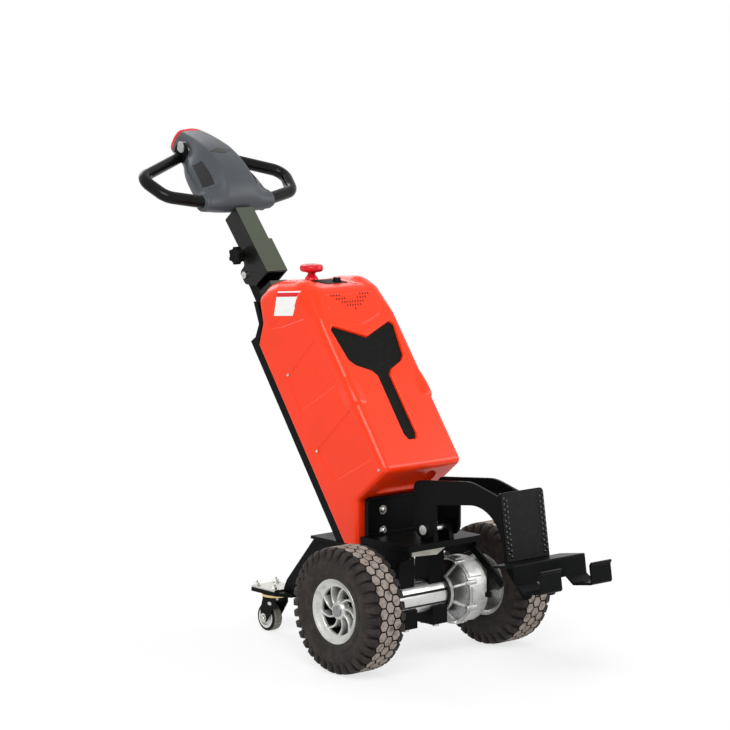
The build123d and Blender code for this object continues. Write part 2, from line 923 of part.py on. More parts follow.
def battery():
    """The battery block inside the cover."""
    near = backbone_front + cover_wall
    rows = leaned_rows(
        (
            (battery_low, near, 0),
            (battery_low, near + battery_depth, 0),
            (battery_high, near + battery_depth, 0),
            (battery_high, near, 0),
        )
    )
    return side_plate(rows, -battery_half, battery_half)


def cover_top_point(out):
    """The (y, z) on the cover's top slope at a distance out from the lean."""
    share = (out - cover_ridge[1]) / (cover_brow[1] - cover_ridge[1])
    return leaned(cover_ridge[0] + share * (cover_brow[0] - cover_ridge[0]), out)


def emergency_knob():
    """The red mushroom knob on the cover's top."""
    y, z = cover_top_point(emergency_knob_out)
    stem = rod_z(knob_stem_radius, z - 20, z + knob_stem_height, 0, y) - cover_block()
    cap = rod_z(knob_cap_radius, z + knob_stem_height, z + knob_stem_height + knob_cap_height, 0, y)
    cap = fillet(cap.edges().filter_by(GeomType.CIRCLE), knob_cap_height * 0.35)
    return stem + cap


# Mast and column.


def mast_tube():
    """The lower mast tube on top of the backbone."""
    outer_rows = leaned_rows(
        (
            (backbone_top, backbone_rear, 0),
            (backbone_top, mast_front, 0),
            (mast_top, mast_front, 0),
            (mast_top, backbone_rear, 0),
        )
    )
    inner_rows = leaned_rows(
        (
            (backbone_top - 1, backbone_rear + mast_wall, 0),
            (backbone_top - 1, mast_front - mast_wall, 0),
            (mast_top + 1, mast_front - mast_wall, 0),
            (mast_top + 1, backbone_rear + mast_wall, 0),
        )
    )
    outer = side_plate(outer_rows, -mast_half, mast_half)
    return outer - side_plate(inner_rows, mast_wall - mast_half, mast_half - mast_wall)


def mast_foot():
    """The plate that ties the mast tube to the backbone, with the hinge lug at its top."""
    plate_rows = leaned_rows(
        (
            (foot_low, backbone_rear - foot_thick, 4),
            (foot_low, backbone_rear, 0),
            (foot_high, backbone_rear, 0),
            (foot_high, backbone_rear - foot_thick, 4),
        )
    )
    plate = side_plate(plate_rows, -foot_half, foot_half)
    lug_rows = leaned_rows(
        (
            (mast_top - 70, backbone_rear - foot_thick - 2, 0),
            (mast_top - 70, backbone_rear, 0),
            (mast_top - 4, backbone_rear, 0),
            (pivot_t - 22, pivot_n + lug_radius, 0),
            (pivot_t + lug_radius, pivot_n + lug_radius, lug_radius * 0.98),
            (pivot_t + lug_radius, pivot_n - lug_radius, lug_radius * 0.98),
            (mast_top - 20, pivot_n - lug_radius, 10),
        )
    )
    lug = side_plate(lug_rows, -lug_half, lug_half)
    bore = rod_x(column_pin_radius + running_fit, -lug_half - 1, lug_half + 1, *column_pivot)
    return plate + lug - bore


def column_sleeve():
    """The U-shaped bracket that hinges on the lug and holds the upper tube."""
    cheek_rows = column_rows(
        (
            (-20, -16, 14),
            (sleeve_low, 18, 6),
            (sleeve_low, sleeve_front, 3),
            (sleeve_high, sleeve_front, 3),
            (sleeve_high, 18, 3),
            (22, 16, 10),
            (20, -16, 14),
        )
    )
    cheek = side_plate(cheek_rows, sleeve_half - sleeve_wall, sleeve_half)
    front_rows = column_rows(
        (
            (sleeve_low, sleeve_front - sleeve_wall, 0),
            (sleeve_low, sleeve_front, 3),
            (sleeve_high, sleeve_front, 3),
            (sleeve_high, sleeve_front - sleeve_wall, 0),
        )
    )
    front = side_plate(front_rows, -sleeve_half, sleeve_half)
    sleeve = front + cheek + mirror(cheek, about=Plane.YZ)
    return sleeve - rod_x(column_pin_radius, -sleeve_half - 1, sleeve_half + 1, *column_pivot)


def column_tube():
    """The upper tube from the sleeve to the tiller head."""
    rear = column_front - column_depth
    outer_rows = column_rows(
        (
            (column_low, rear, 3),
            (column_low, column_front, 3),
            (column_high, column_front, 3),
            (column_high, rear, 3),
        )
    )
    return side_plate(outer_rows, -column_half, column_half)


def column_pin():
    """The hinge pin of the column."""
    reach = sleeve_half + 4
    pin = rod_x(column_pin_radius, -reach, reach, *column_pivot)
    for side in (-1, 1):
        middle = side * (sleeve_half + 3)
        pin += rod_x(column_pin_radius + 4, middle - 3, middle + 3, *column_pivot)
    return pin


def star_knob():
    """The star knob that clamps the column, on its stud through the left cheek."""
    y, z = column_point(star_knob_along, star_knob_depth)
    lobes = 6
    body = Cylinder(star_knob_radius - 5, star_knob_thick)
    for index in range(lobes):
        angle = 2 * math.pi * index / lobes
        reach = star_knob_radius - 6
        body += Pos(reach * math.cos(angle), reach * math.sin(angle), 0) * Cylinder(6, star_knob_thick)
    outer = -sleeve_half - 14 - star_knob_thick / 2
    knob = Pos(outer, y, z) * Rot(0, 90, 0) * body
    return knob + rod_x(6, -sleeve_half - 14, -sleeve_half, y, z)


# Tiller head, drawn on (x, u, w): u runs back along the head, w out of its upper face.

head_frame = Plane(
    origin=(0, barrel_y, barrel_z),
    x_dir=(1, 0, 0),
    z_dir=(0, -math.sin(math.radians(head_tilt)), math.cos(math.radians(head_tilt))),
)


def head_side_prism():
    """The head's side outline as a prism across X."""
    rows = (
        # u, w, corner radius
        (-34, -20, 10),
        (-30, 26, 12),
        (0, 52, 30),
        (110, 88, 120),
        (head_rear - 6, 46, 8),
        (head_rear, -26, 8),
        (150, -26, 40),
        (70, -40, 30),
        (-20, -40, 10),
    )
    return side_plate(rows, -barrel_half, barrel_half)


def head_plan_prism():
    """The head's plan outline as a prism across w."""
    rows = [(-barrel_half, -60, 0), (barrel_half, -60, 0)]
    half_rows = (
        # x, u, corner radius
        (barrel_half, 40, 8),
        (96, 62, 10),
        (94, 150, 16),
        (62, 184, 20),
        (48, 320, 0),
    )
    rows += half_rows
    rows += [(-x, u, radius) for x, u, radius in reversed(half_rows)]
    return flat_plate(rows, -80, 120)


def head_section_prism():
    """The head's cross-section as a prism along u."""
    half_rows = (
        # x, w, corner radius
        (barrel_half, -60, 0),
        (barrel_half, 26, 8),
        (98, 30, 8),
        (74, 48, 10),
        (44, 90, 16),
    )
    rows = list(half_rows) + [(-x, w, radius) for x, w, radius in reversed(half_rows)]
    outline = FilletPolyline(*[row[:2] for row in rows], radius=[row[2] for row in rows], close=True)
    solid = extrude(make_face(outline.edges()), amount=400, dir=(0, 0, 1))
    return Plane(origin=(0, 340, 0), x_dir=(1, 0, 0), z_dir=(0, -1, 0)) * solid


def head_solid():
    """The whole head before the rear cap is parted from it."""
    body = head_side_prism() & head_plan_prism() & head_section_prism()
    tube_top = column_head_cut()
    return body - tube_top


def column_head_cut():
    """The upper tube in the head's own directions, grown by the seat gap."""
    return head_frame.to_local_coords(column_tube())


def behind_cap_line():
    """Everything of the head behind the joint line of its rear cap."""
    reach = 2 * barrel_half
    return block((-reach, reach), (head_rear - head_cap_thick, head_rear + reach), (-reach, reach))


def head_housing():
    """The grey housing of the tiller head."""
    return head_frame * (head_solid() - behind_cap_line())


def head_cap():
    """The red cap that closes the rear end of the head."""
    return head_frame * (head_solid() & behind_cap_line())


def cheek(side):
    """The round black cheek beside the head that carries a thumb lever."""
    inner = 40
    body = rod_x(cheek_radius, inner, cheek_outer, cheek_u, cheek_w) - head_solid()
    body = body if side > 0 else mirror(body, about=Plane.YZ)
    return head_frame * body


def thumb_lever(side):
    """The light lever on the outer face of the cheek."""
    rows = (
        (cheek_u - 14, cheek_w + 4, 8),
        (cheek_u + 12, cheek_w + 2, 8),
        (cheek_u + 24, cheek_w + lever_span, 8),
        (cheek_u - 4, cheek_w + lever_span - 8, 8),
    )
    lever = side_plate(rows, cheek_outer, cheek_outer + lever_thick)
    lever = lever if side > 0 else mirror(lever, about=Plane.YZ)
    return head_frame * lever


def handle_loop(side):
    """One closed hand loop from the barrel's end round to the cheek."""
    rows = (
        # x, u, corner radius
        (barrel_half - 10, 0, 0),
        (226, 34, 46),
        (258, 126, 42),
        (46, 226, 0),
    )
    points = [(x, u, 0) for x, u, radius in rows]
    path = FilletPolyline(*points, radius=[row[2] for row in rows[1:-1]])
    start = Plane(origin=path @ 0, z_dir=path % 0)
    tube = sweep(start * Circle(grip_radius), path=path)
    tube -= head_solid()
    tube -= rod_x(cheek_radius, 0, cheek_outer, cheek_u, cheek_w)
    tube -= block((0, cheek_outer), (100, 400), (-100, 100))
    solid = max(tube.solids(), key=lambda piece: piece.volume)
    solid = solid if side > 0 else mirror(solid, about=Plane.YZ)
    return head_frame * solid


def at_wheel(solid, side):
    """A right-hand wheel piece set on the axle's left or right end."""
    placed = Pos(wheel_x, 0, axle_height) * solid
    return placed if side > 0 else mirror(placed, about=Plane.YZ)


def at_castor(solid, side):
    """A castor piece set under its left or right pivot."""
    return Pos(side * castor_pivot_x, castor_pivot_y, 0) * solid


def castor_pad_at(side):
    """A castor's pad and king pin under its pivot."""
    return at_castor(castor_pad(), side)


def at_castor_axle(solid, side):
    """A castor wheel piece set on its axle."""
    return at_castor(Pos(0, castor_trail, castor_wheel_radius) * solid, side)


def pair(maker):
    """The left and right copies of a piece, as one node of two solids."""
    return maker(-1) + maker(1)


def pieces():
    """Every node of the tug by name, in the axle's frame."""
    nodes = {
        "deck": deck(),
        "base_plate": base_plate(),
        "deck_bracket": deck_bracket(),
        "side_rails": pair(rail),
        "castor_mounts": pair(castor_mount),
        "castor_pads": pair(castor_pad_at),
        "cross_plate": cross_plate(),
        "torque_stay": torque_stay(),
        "axle_clamps": axle_clamps(),
        "axle_saddles": axle_saddles(),
        "clamp_bolts": clamp_bolts(),
        "axle_tube": axle_tube(),
        "gearbox": gearbox(),
        "drive_motor": motor(),
        "cover": cover(),
        "cover_recess": recess_insert(),
        "backbone": backbone(),
        "battery": battery(),
        "emergency_knob": emergency_knob(),
        "mast_tube": mast_tube(),
        "mast_foot": mast_foot(),
        "hitch_ears": ear_block(),
        "hitch_pin": hitch_pin(),
        "hitch_arms": pair(arm),
        "hitch_channel": hitch_channel(),
        "hitch_hooks": pair(hitch_hook),
        "push_plate": push_plate(),
        "push_pad": push_pad(),
        "column_sleeve": column_sleeve(),
        "column_tube": column_tube(),
        "column_pin": column_pin(),
        "star_knob": star_knob(),
        "head_housing": head_housing(),
        "head_cap": head_cap(),
        "head_cheeks": pair(cheek),
        "thumb_levers": pair(thumb_lever),
        "handle_loops": pair(handle_loop),
    }
    for side, word in ((-1, "left"), (1, "right")):
        nodes[f"castor_fork_{word}"] = at_castor(castor_fork(), side)
        nodes[f"castor_tyre_{word}"] = at_castor_axle(castor_tyre(), side)
        nodes[f"castor_core_{word}"] = at_castor_axle(castor_core(), side)
        nodes[f"tyre_{word}"] = at_wheel(tyre(), side)
        nodes[f"rim_{word}"] = at_wheel(rim(), side)
        nodes[f"hub_{word}"] = at_wheel(hub(), side)
    return nodes


def y_shift(nodes):
    """The move along Y that puts the middle of the whole tug over the origin."""
    boxes = [solid.bounding_box() for solid in nodes.values()]
    return -(min(box.min.Y for box in boxes) + max(box.max.Y for box in boxes)) / 2


def main():
    """Write one STEP file for each node, centred over the origin."""
    os.makedirs("parts", exist_ok=True)
    nodes = pieces()
    shift = y_shift(nodes)
    print("shift along Y", round(shift, 4))
    for name, solid in nodes.items():
        export_step(Pos(0, shift, 0) * solid, f"parts/{name}.step")


main()
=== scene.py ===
"""Finishes, tyres, cover, tiller head, fasteners and stage of a walk-behind trolley pusher tug."""

import math

import bmesh
import bpy
from mathutils import Matrix, Vector
from mathutils.bvhtree import BVHTree


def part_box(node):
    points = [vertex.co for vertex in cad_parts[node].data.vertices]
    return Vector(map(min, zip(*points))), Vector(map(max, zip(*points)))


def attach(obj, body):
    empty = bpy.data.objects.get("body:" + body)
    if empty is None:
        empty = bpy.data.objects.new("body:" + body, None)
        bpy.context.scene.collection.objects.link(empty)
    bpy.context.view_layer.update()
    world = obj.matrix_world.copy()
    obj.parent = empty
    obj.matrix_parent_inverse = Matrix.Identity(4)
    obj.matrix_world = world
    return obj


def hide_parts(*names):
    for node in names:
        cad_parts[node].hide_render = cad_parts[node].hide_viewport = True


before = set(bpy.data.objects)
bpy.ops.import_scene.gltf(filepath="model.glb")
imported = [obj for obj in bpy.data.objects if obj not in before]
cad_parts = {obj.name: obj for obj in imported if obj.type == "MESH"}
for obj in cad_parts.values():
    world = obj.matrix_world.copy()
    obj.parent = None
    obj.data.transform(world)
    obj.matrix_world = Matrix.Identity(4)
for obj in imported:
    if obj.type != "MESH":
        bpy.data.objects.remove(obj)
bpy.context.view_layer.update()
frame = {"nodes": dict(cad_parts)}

bl_info = {
    "name": "Trolley pusher tug",
    "version": (1, 0, 0),
    "blender": (4, 5, 0),
    "location": "View3D > Sidebar > Tug",
    "description": "Dresses the packed trolley pusher tug with its finishes and moulded pieces",
    "category": "Object",
}

# Places. Every place below is in millimetres, from the point on the floor under the drive axle.

TYRE_LOW, TYRE_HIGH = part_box("tyre_left")
AXLE_Y = (TYRE_LOW.y + TYRE_HIGH.y) / 2
AXLE_Z = (TYRE_LOW.z + TYRE_HIGH.z) / 2 * 1000
TYRE_RADIUS = (TYRE_HIGH.z - TYRE_LOW.z) / 2 * 1000
WHEEL_X = (TYRE_LOW.x + TYRE_HIGH.x) / 2 * -1000
AXLE = Matrix.Translation((0, AXLE_Y, 0)) @ Matrix.Scale(0.001, 4)

# How far each group leans back from upright in degrees, and where its frame starts on (y, z).
COVER_LEAN = 35.5
HITCH_LEAN, HITCH_PIN = 9.0, (-389.0, 319.0)
HEAD_LEAN, HEAD_START = 57.0, (784.0, 1168.0)
LEAN_SIN, LEAN_COS = math.sin(math.radians(COVER_LEAN)), math.cos(math.radians(COVER_LEAN))


def tipped(angle, y=0.0, z=0.0):
    """A frame on (x, along, out): along leans back from upright by an angle, out faces the hitch."""
    s, c = math.sin(math.radians(angle)), math.cos(math.radians(angle))
    turn = Matrix(((1, 0, 0, 0), (0, s, -c, y), (0, c, s, z), (0, 0, 0, 1)))
    return AXLE @ turn


LEAN = tipped(COVER_LEAN)
HITCH = tipped(HITCH_LEAN, *HITCH_PIN)
HEAD = tipped(HEAD_LEAN, *HEAD_START)


def leaned(along, out):
    """The (y, z) of a point on the cover's lean."""
    return along * LEAN_SIN - out * LEAN_COS, along * LEAN_COS + out * LEAN_SIN


# Colours and finishes.


def linear(code):
    """A linear colour from an sRGB hex value."""
    parts = [int(code[i:i + 2], 16) / 255 for i in (0, 2, 4)]
    return tuple(p / 12.92 if p <= 0.04045 else ((p + 0.055) / 1.055) ** 2.4 for p in parts)


def colour(name, code, description):
    """A colour property with an sRGB hex default."""
    return bpy.props.FloatVectorProperty(
        name=name, description=description, subtype="COLOR", size=3, min=0, max=1, default=linear(code)
    )


class TugColours(bpy.types.PropertyGroup):
    """The colours that a user would change."""

    cover: colour("Cover", "F0360C", "Moulded battery cover")
    frame: colour("Frame", "080909", "Powder-coated frame and hitch")
    # The mast colour is a painted sheen, used only on the mast's faces that look forward and up; the enamel itself is
    # near black.
    mast: colour("Mast", "4A5043", "Painted mast and column")
    head: colour("Tiller head", "43474C", "Moulded head of the tiller")
    signal: colour("Controls", "D01522", "Emergency knob and head cap")
    tyre: colour("Tyre", "1C1816", "Tyre rubber")
    # Pale colour of the tread block tops: dusty rubber, made paler also as a painted highlight of the light grazing
    # them.
    dust_and_highlight: colour("Tread dust", "988D84", "Dust on the tread blocks")


class TugSizes(bpy.types.PropertyGroup):
    """The sizes that a user would change."""

    block_count: bpy.props.IntProperty(name="Tread blocks", description="Blocks in one row", default=34, min=12)
    block_height: bpy.props.FloatProperty(
        name="Tread depth", description="Height of a tread block", default=0.007, unit="LENGTH", subtype="DISTANCE"
    )


def colour_of(name):
    """A user colour as RGBA."""
    return (*getattr(bpy.context.scene.tug_colours, name), 1)


def add(tree, kind, settings=None, values=None, links=None):
    """Add one node with its settings, input values and input links."""
    node = tree.nodes.new(kind)
    for key, value in (settings or {}).items():
        setattr(node, key, value)
    for key, value in (values or {}).items():
        node.inputs[key].default_value = value
    for key, source in (links or {}).items():
        tree.links.new(source, node.inputs[key])
    return node


def finish(name, base, worn, spots, bumps=(), edge=0.0, painted_sheen_facing=None, **shader):
    """A surface finish.

    base and worn are two RGBA colours that mix by patches of a size in mm: spots is (size, share of worn, roughness
    low, roughness high). bumps are rows of (grain in mm, height in mm, stretch along X). edge is a soft corner in mm.
    facing is (direction, colour): the faces that look that way get that colour as a painted sheen, a lighter colour
    standing for the light they reflect.
    """
    material = bpy.data.materials.new(name)
    material.use_nodes = True
    tree = material.node_tree
    tree.nodes.clear()
    place = add(tree, "ShaderNodeTexCoord").outputs["Object"]
    size, share, smooth, rough = spots
    patch = add(tree, "ShaderNodeTexNoise", None, {"Scale": 1000 / size, "Detail": 5, "Roughness": 0.6},
                {"Vector": place})
    spread = add(tree, "ShaderNodeMapRange", {"interpolation_type": "SMOOTHSTEP"},
                 {"From Min": 1 - share - 0.15, "From Max": 1 - share + 0.15}, {"Value": patch.outputs["Fac"]})
    mix = add(tree, "ShaderNodeMix", {"data_type": "RGBA"}, {6: base, 7: worn}, {0: spread.outputs[0]})
    # Painted sheen: faces turned towards the given direction are mixed to another, lighter colour for the light they
    # reflect.
    if painted_sheen_facing:
        normal = add(tree, "ShaderNodeTexCoord").outputs["Normal"]
        turn = add(tree, "ShaderNodeVectorMath", {"operation": "DOT_PRODUCT"}, {1: painted_sheen_facing[0]}, {0: normal})
        part = add(tree, "ShaderNodeMapRange", {"interpolation_type": "SMOOTHSTEP"},
                   {"From Min": 0.7, "From Max": 0.97}, {"Value": turn.outputs["Value"]})
        mix = add(tree, "ShaderNodeMix", {"data_type": "RGBA"}, {7: painted_sheen_facing[1]},
                  {0: part.outputs[0], 6: mix.outputs[2]})
    gloss = add(tree, "ShaderNodeMapRange", None, {"To Min": smooth, "To Max": rough},
                {"Value": patch.outputs["Fac"]})
    surface = add(tree, "ShaderNodeBsdfPrincipled", None, shader,
                  {"Base Color": mix.outputs[2], "Roughness": gloss.outputs[0]})
    normal = None
    if edge:
        normal = add(tree, "ShaderNodeBevel", {"samples": 4}, {"Radius": edge / 1000}).outputs[0]
    for grain, height, stretch in bumps:
        spot = add(tree, "ShaderNodeMapping", None, {"Scale": (1 / stretch, 1, 1)}, {"Vector": place})
        texture = add(tree, "ShaderNodeTexNoise", None, {"Scale": 1000 / grain, "Detail": 3},
                      {"Vector": spot.outputs[0]})
        bump = add(tree, "ShaderNodeBump", None, {"Distance": height / 1000, "Strength": 1.0},
                   {"Height": texture.outputs["Fac"]})
        if normal:
            tree.links.new(normal, bump.inputs["Normal"])
        normal = bump.outputs[0]
    if normal:
        tree.links.new(normal, surface.inputs["Normal"])
    add(tree, "ShaderNodeOutputMaterial", None, None, {"Surface": surface.outputs[0]})
    return material


def clear_skin(ior=1.5, level=0.5, **more):
    """Shader values of a coated or moulded surface: its IOR, how much of its gloss shows, and others."""
    return {"IOR": ior, "Specular IOR Level": level, **more}


def shade(rgba, factor):
    """A lighter or darker copy of a colour."""
    return (*[min(1.0, part * factor) for part in rgba[:3]], 1)


def solid(code):
    """An opaque RGBA colour from an sRGB hex value."""
    return (*linear(code), 1)


def make_finishes():
    """Every finish on the tug, by a short name."""
    cover, steel, mast = colour_of("cover"), colour_of("frame"), colour_of("mast")
    head, signal, tyre, dust_and_highlight = (colour_of(name) for name in ("head", "signal", "tyre", "dust_and_highlight"))
    return {
        # Moulded and lacquered ABS: deep even colour under a bright clear skin with a slight ripple.
        "cover": finish("lacquered_abs_orange", cover, shade(cover, 0.93), (260, 0.4, 0.24, 0.34),
                        ((38, 0.08, 1),), 0,
                        **clear_skin(1.46, 0.25, **{"Coat Weight": 0.12, "Coat Roughness": 0.08})),
        # Powder-coated steel: near black with a fine pebbled skin that breaks up the highlights.
        "frame": finish("powder_coated_steel_black", steel, shade(steel, 1.7), (34, 0.32, 0.26, 0.46),
                        ((2.2, 0.10, 1),), 1.5, **clear_skin(1.5, 0.06)),
        # Sprayed enamel on square tube: olive black with faint long streaks, and a painted sheen: faces that look
        # forward and up are mixed to the lighter mast colour for the light they reflect.
        "mast": finish("sprayed_enamel_olive_black", solid("121311"), solid("1B1C19"), (70, 0.4, 0.26, 0.40),
                       ((5, 0.05, 1),), 2.0, ((0, -0.80, 0.60), mast), **clear_skin(1.5, 0.2)),
        # Zinc-plated steel: bright grey with cloudy patches.
        "zinc": finish("zinc_plated_steel", solid("C9C8C3"), solid("9B9A94"), (9, 0.4, 0.22, 0.42),
                       ((1.6, 0.03, 1),), 0.6, Metallic=1.0),
        # Zinc with yellow passivation: a gilt race ring.
        "gilt": finish("yellow_zinc_plated_steel", solid("E2CC92"), solid("C4A660"), (8, 0.4, 0.22, 0.38),
                       ((2, 0.03, 1),), 0.5, Metallic=1.0),
        # Sheet steel plate: pale grey, almost flat; the pale grey is a painted reflection of the strong front light
        # on the plate.
        "painted_reflection_grey": finish("sheet_steel_painted_reflection_grey", solid("CFCDC2"), solid("B9B6A9"), (45, 0.4, 0.40, 0.58),
                         ((3, 0.05, 1),), 1.0, **clear_skin()),
        # Sand-cast aluminium: a bright, slightly pebbled grey.
        "cast": finish("sand_cast_aluminium", solid("C4C4C2"), solid("A2A29F"), (24, 0.4, 0.40, 0.58),
                       ((2.4, 0.12, 1), (9, 0.15, 1)), 1.5, Metallic=0.85),
        # Extruded aluminium: brighter than the casting, with fine lines along the tube.
        "extruded": finish("extruded_aluminium", solid("CFCFCD"), solid("B0B0AE"), (40, 0.35, 0.30, 0.44),
                           ((1.8, 0.05, 60),), 1.0, Metallic=0.9),
        # Painted motor barrel: satin black.
        "motor": finish("motor_enamel_black", steel, shade(steel, 1.8), (40, 0.4, 0.35, 0.5),
                        ((6, 0.12, 1),), 1.0, **clear_skin(1.5, 0.2)),
        # Grained ABS: matt black with a fine spark-eroded texture.
        "grained": finish("grained_abs_black", solid("0A0B0A"), solid("151614"), (14, 0.4, 0.46, 0.62),
                          ((1.1, 0.08, 1),), 0.8, **clear_skin(1.5, 0.07)),
        # Moulded polyamide of the tiller head: mid grey with a fine even grain.
        "head": finish("moulded_polyamide_grey", head, shade(head, 0.9), (60, 0.4, 0.36, 0.48),
                       ((1.4, 0.06, 1),), 0, **clear_skin(1.5, 0.3)),
        # Polished ABS: the signal red of the knob and the cap.
        "signal": finish("polished_abs_red", signal, shade(signal, 0.85), (40, 0.4, 0.16, 0.26),
                         ((30, 0.05, 1),), 1.0, **clear_skin(1.5, 0.3)),
        # Dip-coated steel tube: a wet-looking black grip.
        "grip": finish("dip_coated_tube_black", solid("0B0B0B"), solid("141413"), (50, 0.4, 0.16, 0.28),
                       ((26, 0.12, 1),), 0, **clear_skin(1.5, 0.14)),
        # Light grey acetal: the thumb levers.
        "lever": finish("moulded_acetal_grey", solid("A9ABAB"), solid("95989A"), (22, 0.4, 0.28, 0.4),
                        ((2, 0.03, 1),), 1.2, **clear_skin(1.48)),
        # Moulded rubber sheet: dull black with grey scuffs.
        "rubber": finish("moulded_rubber_sheet", solid("121212"), solid("1D1C1B"), (16, 0.42, 0.5, 0.7),
                         ((3, 0.2, 1),), 0.8, **clear_skin(1.5, 0.12)),
        # Tyre rubber: brown black, dusty in the hollows of the sidewall.
        "tyre": finish("vulcanised_tyre_rubber", tyre, solid("332B26"), (26, 0.45, 0.55, 0.82),
                       ((2.4, 0.25, 1), (14, 0.4, 1)), 0, **clear_skin(1.5, 0.3)),
        # Tops of the tread blocks: grey-brown, dusty rubber, painted paler also as a highlight of the light grazing
        # the tops.
        "dust_and_highlight": finish("tread_rubber_dust_and_highlight", dust_and_highlight, solid("5E544C"), (14, 0.42, 0.75, 0.95),
                       ((1.6, 0.2, 1),), 0, **clear_skin()),
        # Cast and lacquered wheel rim: silver with a soft sheen.
        "rim": finish("silver_lacquered_rim", solid("C6C6C3"), solid("A6A6A2"), (20, 0.4, 0.30, 0.44),
                      ((3, 0.06, 1),), 1.4, Metallic=0.75),
        # Turned steel: darker metal of the hub and its nut.
        "turned": finish("turned_steel", solid("8E8F8E"), solid("6E6E6C"), (10, 0.4, 0.25, 0.4),
                         ((1.2, 0.03, 1),), 0.8, Metallic=1.0),
        # Polyurethane tread of the castors: grey brown with rolled-in grit.
        "castor": finish("polyurethane_tread_grey", solid("5C5953"), solid("8A867D"), (9, 0.45, 0.45, 0.7),
                         ((2, 0.12, 1),), 0.8, **clear_skin()),
        # Pale polypropylene: the castor's centre.
        "core": finish("moulded_polypropylene_white", solid("DDDDD9"), solid("C2C2BC"), (12, 0.35, 0.35, 0.5),
                       ((2, 0.04, 1),), 0.8, **clear_skin(1.49)),
        # Clear black acrylic: the windows and the slot of the tiller head.
        "gloss": finish("black_acrylic_window", solid("070808"), solid("0C0D0D"), (30, 0.4, 0.12, 0.2),
                        ((20, 0.02, 1),), 0, **clear_skin(1.49)),
        # Vinyl label: a bare white sheet.
        "label": finish("vinyl_label_white", solid("E9E9E6"), solid("DEDEDA"), (30, 0.4, 0.35, 0.45),
                        ((6, 0.02, 1),), 0, **clear_skin()),
    }


FINISHES = {}

# Which finish each CAD node shows.
NODE_FINISHES = {
    "frame": (
        "deck", "base_plate", "deck_bracket", "side_rails", "castor_mounts", "torque_stay", "axle_clamps",
        "axle_saddles", "backbone", "mast_foot", "hitch_ears", "hitch_arms", "hitch_channel", "hitch_hooks",
        "push_plate", "castor_fork_left", "castor_fork_right",
    ),
    "mast": ("mast_tube", "column_sleeve", "column_tube"),
    "zinc": ("castor_pads", "clamp_bolts", "hitch_pin", "column_pin"),
    # The cross plate's pale grey is a painted reflection of the front light.
    "painted_reflection_grey": ("cross_plate",),
    "cast": ("gearbox",),
    "extruded": ("axle_tube",),
    "motor": ("drive_motor", "battery"),
    "grained": ("cover_recess", "star_knob", "head_cheeks"),
    "cover": ("cover",),
    "head": ("head_housing",),
    "signal": ("emergency_knob", "head_cap"),
    "lever": ("thumb_levers",),
    "grip": ("handle_loops",),
    "rubber": ("push_pad",),
    "tyre": ("tyre_left", "tyre_right"),
    "castor": ("castor_tyre_left", "castor_tyre_right"),
    "core": ("castor_core_left", "castor_core_right"),
    "rim": ("rim_left", "rim_right"),
    "turned": ("hub_left", "hub_right"),
}


# Mesh making.


def new_piece(name, bm, body, finishes, place=AXLE, sharp=38, bevel=0.0):
    """An object from a mesh drawn in mm in a frame, riding on a body."""
    bm.transform(place)
    bmesh.ops.remove_doubles(bm, verts=bm.verts, dist=1e-6)
    bmesh.ops.recalc_face_normals(bm, faces=bm.faces)
    for face in bm.faces:
        face.smooth = True
    for edge in bm.edges:
        if len(edge.link_faces) == 2:
            edge.smooth = edge.calc_face_angle(0.0) < math.radians(sharp)
    mesh = bpy.data.meshes.new(name)
    bm.to_mesh(mesh)
    bm.free()
    for key in finishes:
        mesh.materials.append(FINISHES[key])
    piece = bpy.data.objects.new(name, mesh)
    bpy.context.scene.collection.objects.link(piece)
    if bevel:
        rounding = piece.modifiers.new("rounded_edges", "BEVEL")
        rounding.width = bevel / 1000
        rounding.segments = 2
        rounding.limit_method = "ANGLE"
        rounding.angle_limit = math.radians(sharp)
        rounding.harden_normals = True
    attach(piece, body)
    return piece


def rounded(rows, steps=6):
    """A closed outline of (a, b) points from rows of (a, b, corner radius)."""
    points = []
    count = len(rows)
    for i, (a, b, radius) in enumerate(rows):
        here = Vector((a, b))
        back = (Vector(rows[i - 1][:2]) - here).normalized()
        ahead = (Vector(rows[(i + 1) % count][:2]) - here).normalized()
        turn = back.angle(ahead)
        reach = max(radius, 1e-3) / math.tan(turn / 2)
        centre = here + (back + ahead).normalized() * (max(radius, 1e-3) / math.sin(turn / 2))
        first, last = here + back * reach - centre, here + ahead * reach - centre
        sweep = first.angle_signed(last)
        for step in range(steps + 1):
            spin = Matrix.Rotation(-sweep * step / steps, 2)
            points.append(tuple(centre + spin @ first))
    return points


def ring(bm, points):
    """A loop of vertices."""
    return [bm.verts.new(point) for point in points]


def bridge(bm, first, second, material=0, closed=True):
    """Quads between two loops of the same length."""
    count = len(first)
    faces = []
    for i in range(count if closed else count - 1):
        j = (i + 1) % count
        face = bm.faces.new((first[i], first[j], second[j], second[i]))
        face.material_index = material
        faces.append(face)
    return faces


def skin(bm, loops, material=0, closed=True):
    """Quads between each loop and the next."""
    for first, second in zip(loops, loops[1:]):
        bridge(bm, first, second, material, closed)


def cap(bm, loop, material=0):
    """One flat face over a loop."""
    bm.faces.new(loop).material_index = material


def prism(bm, outline, low, high, place=None, material=0, top_material=None, draft=0.0):
    """A solid from an outline on (x, y) between two heights, its top drawn in by a draft."""
    place = place or Matrix.Identity(4)
    centre = Vector([sum(p[i] for p in outline) / len(outline) for i in (0, 1)])
    base = ring(bm, [place @ Vector((a, b, low)) for a, b in outline])
    drawn = []
    for a, b in outline:
        away = Vector((a, b)) - centre
        drawn.append(centre + away * (1 - draft / max(away.length, draft + 1)))
    top = ring(bm, [place @ Vector((p.x, p.y, high)) for p in drawn])
    bridge(bm, base, top, material)
    cap(bm, top, material if top_material is None else top_material)
    cap(bm, base[::-1], material)


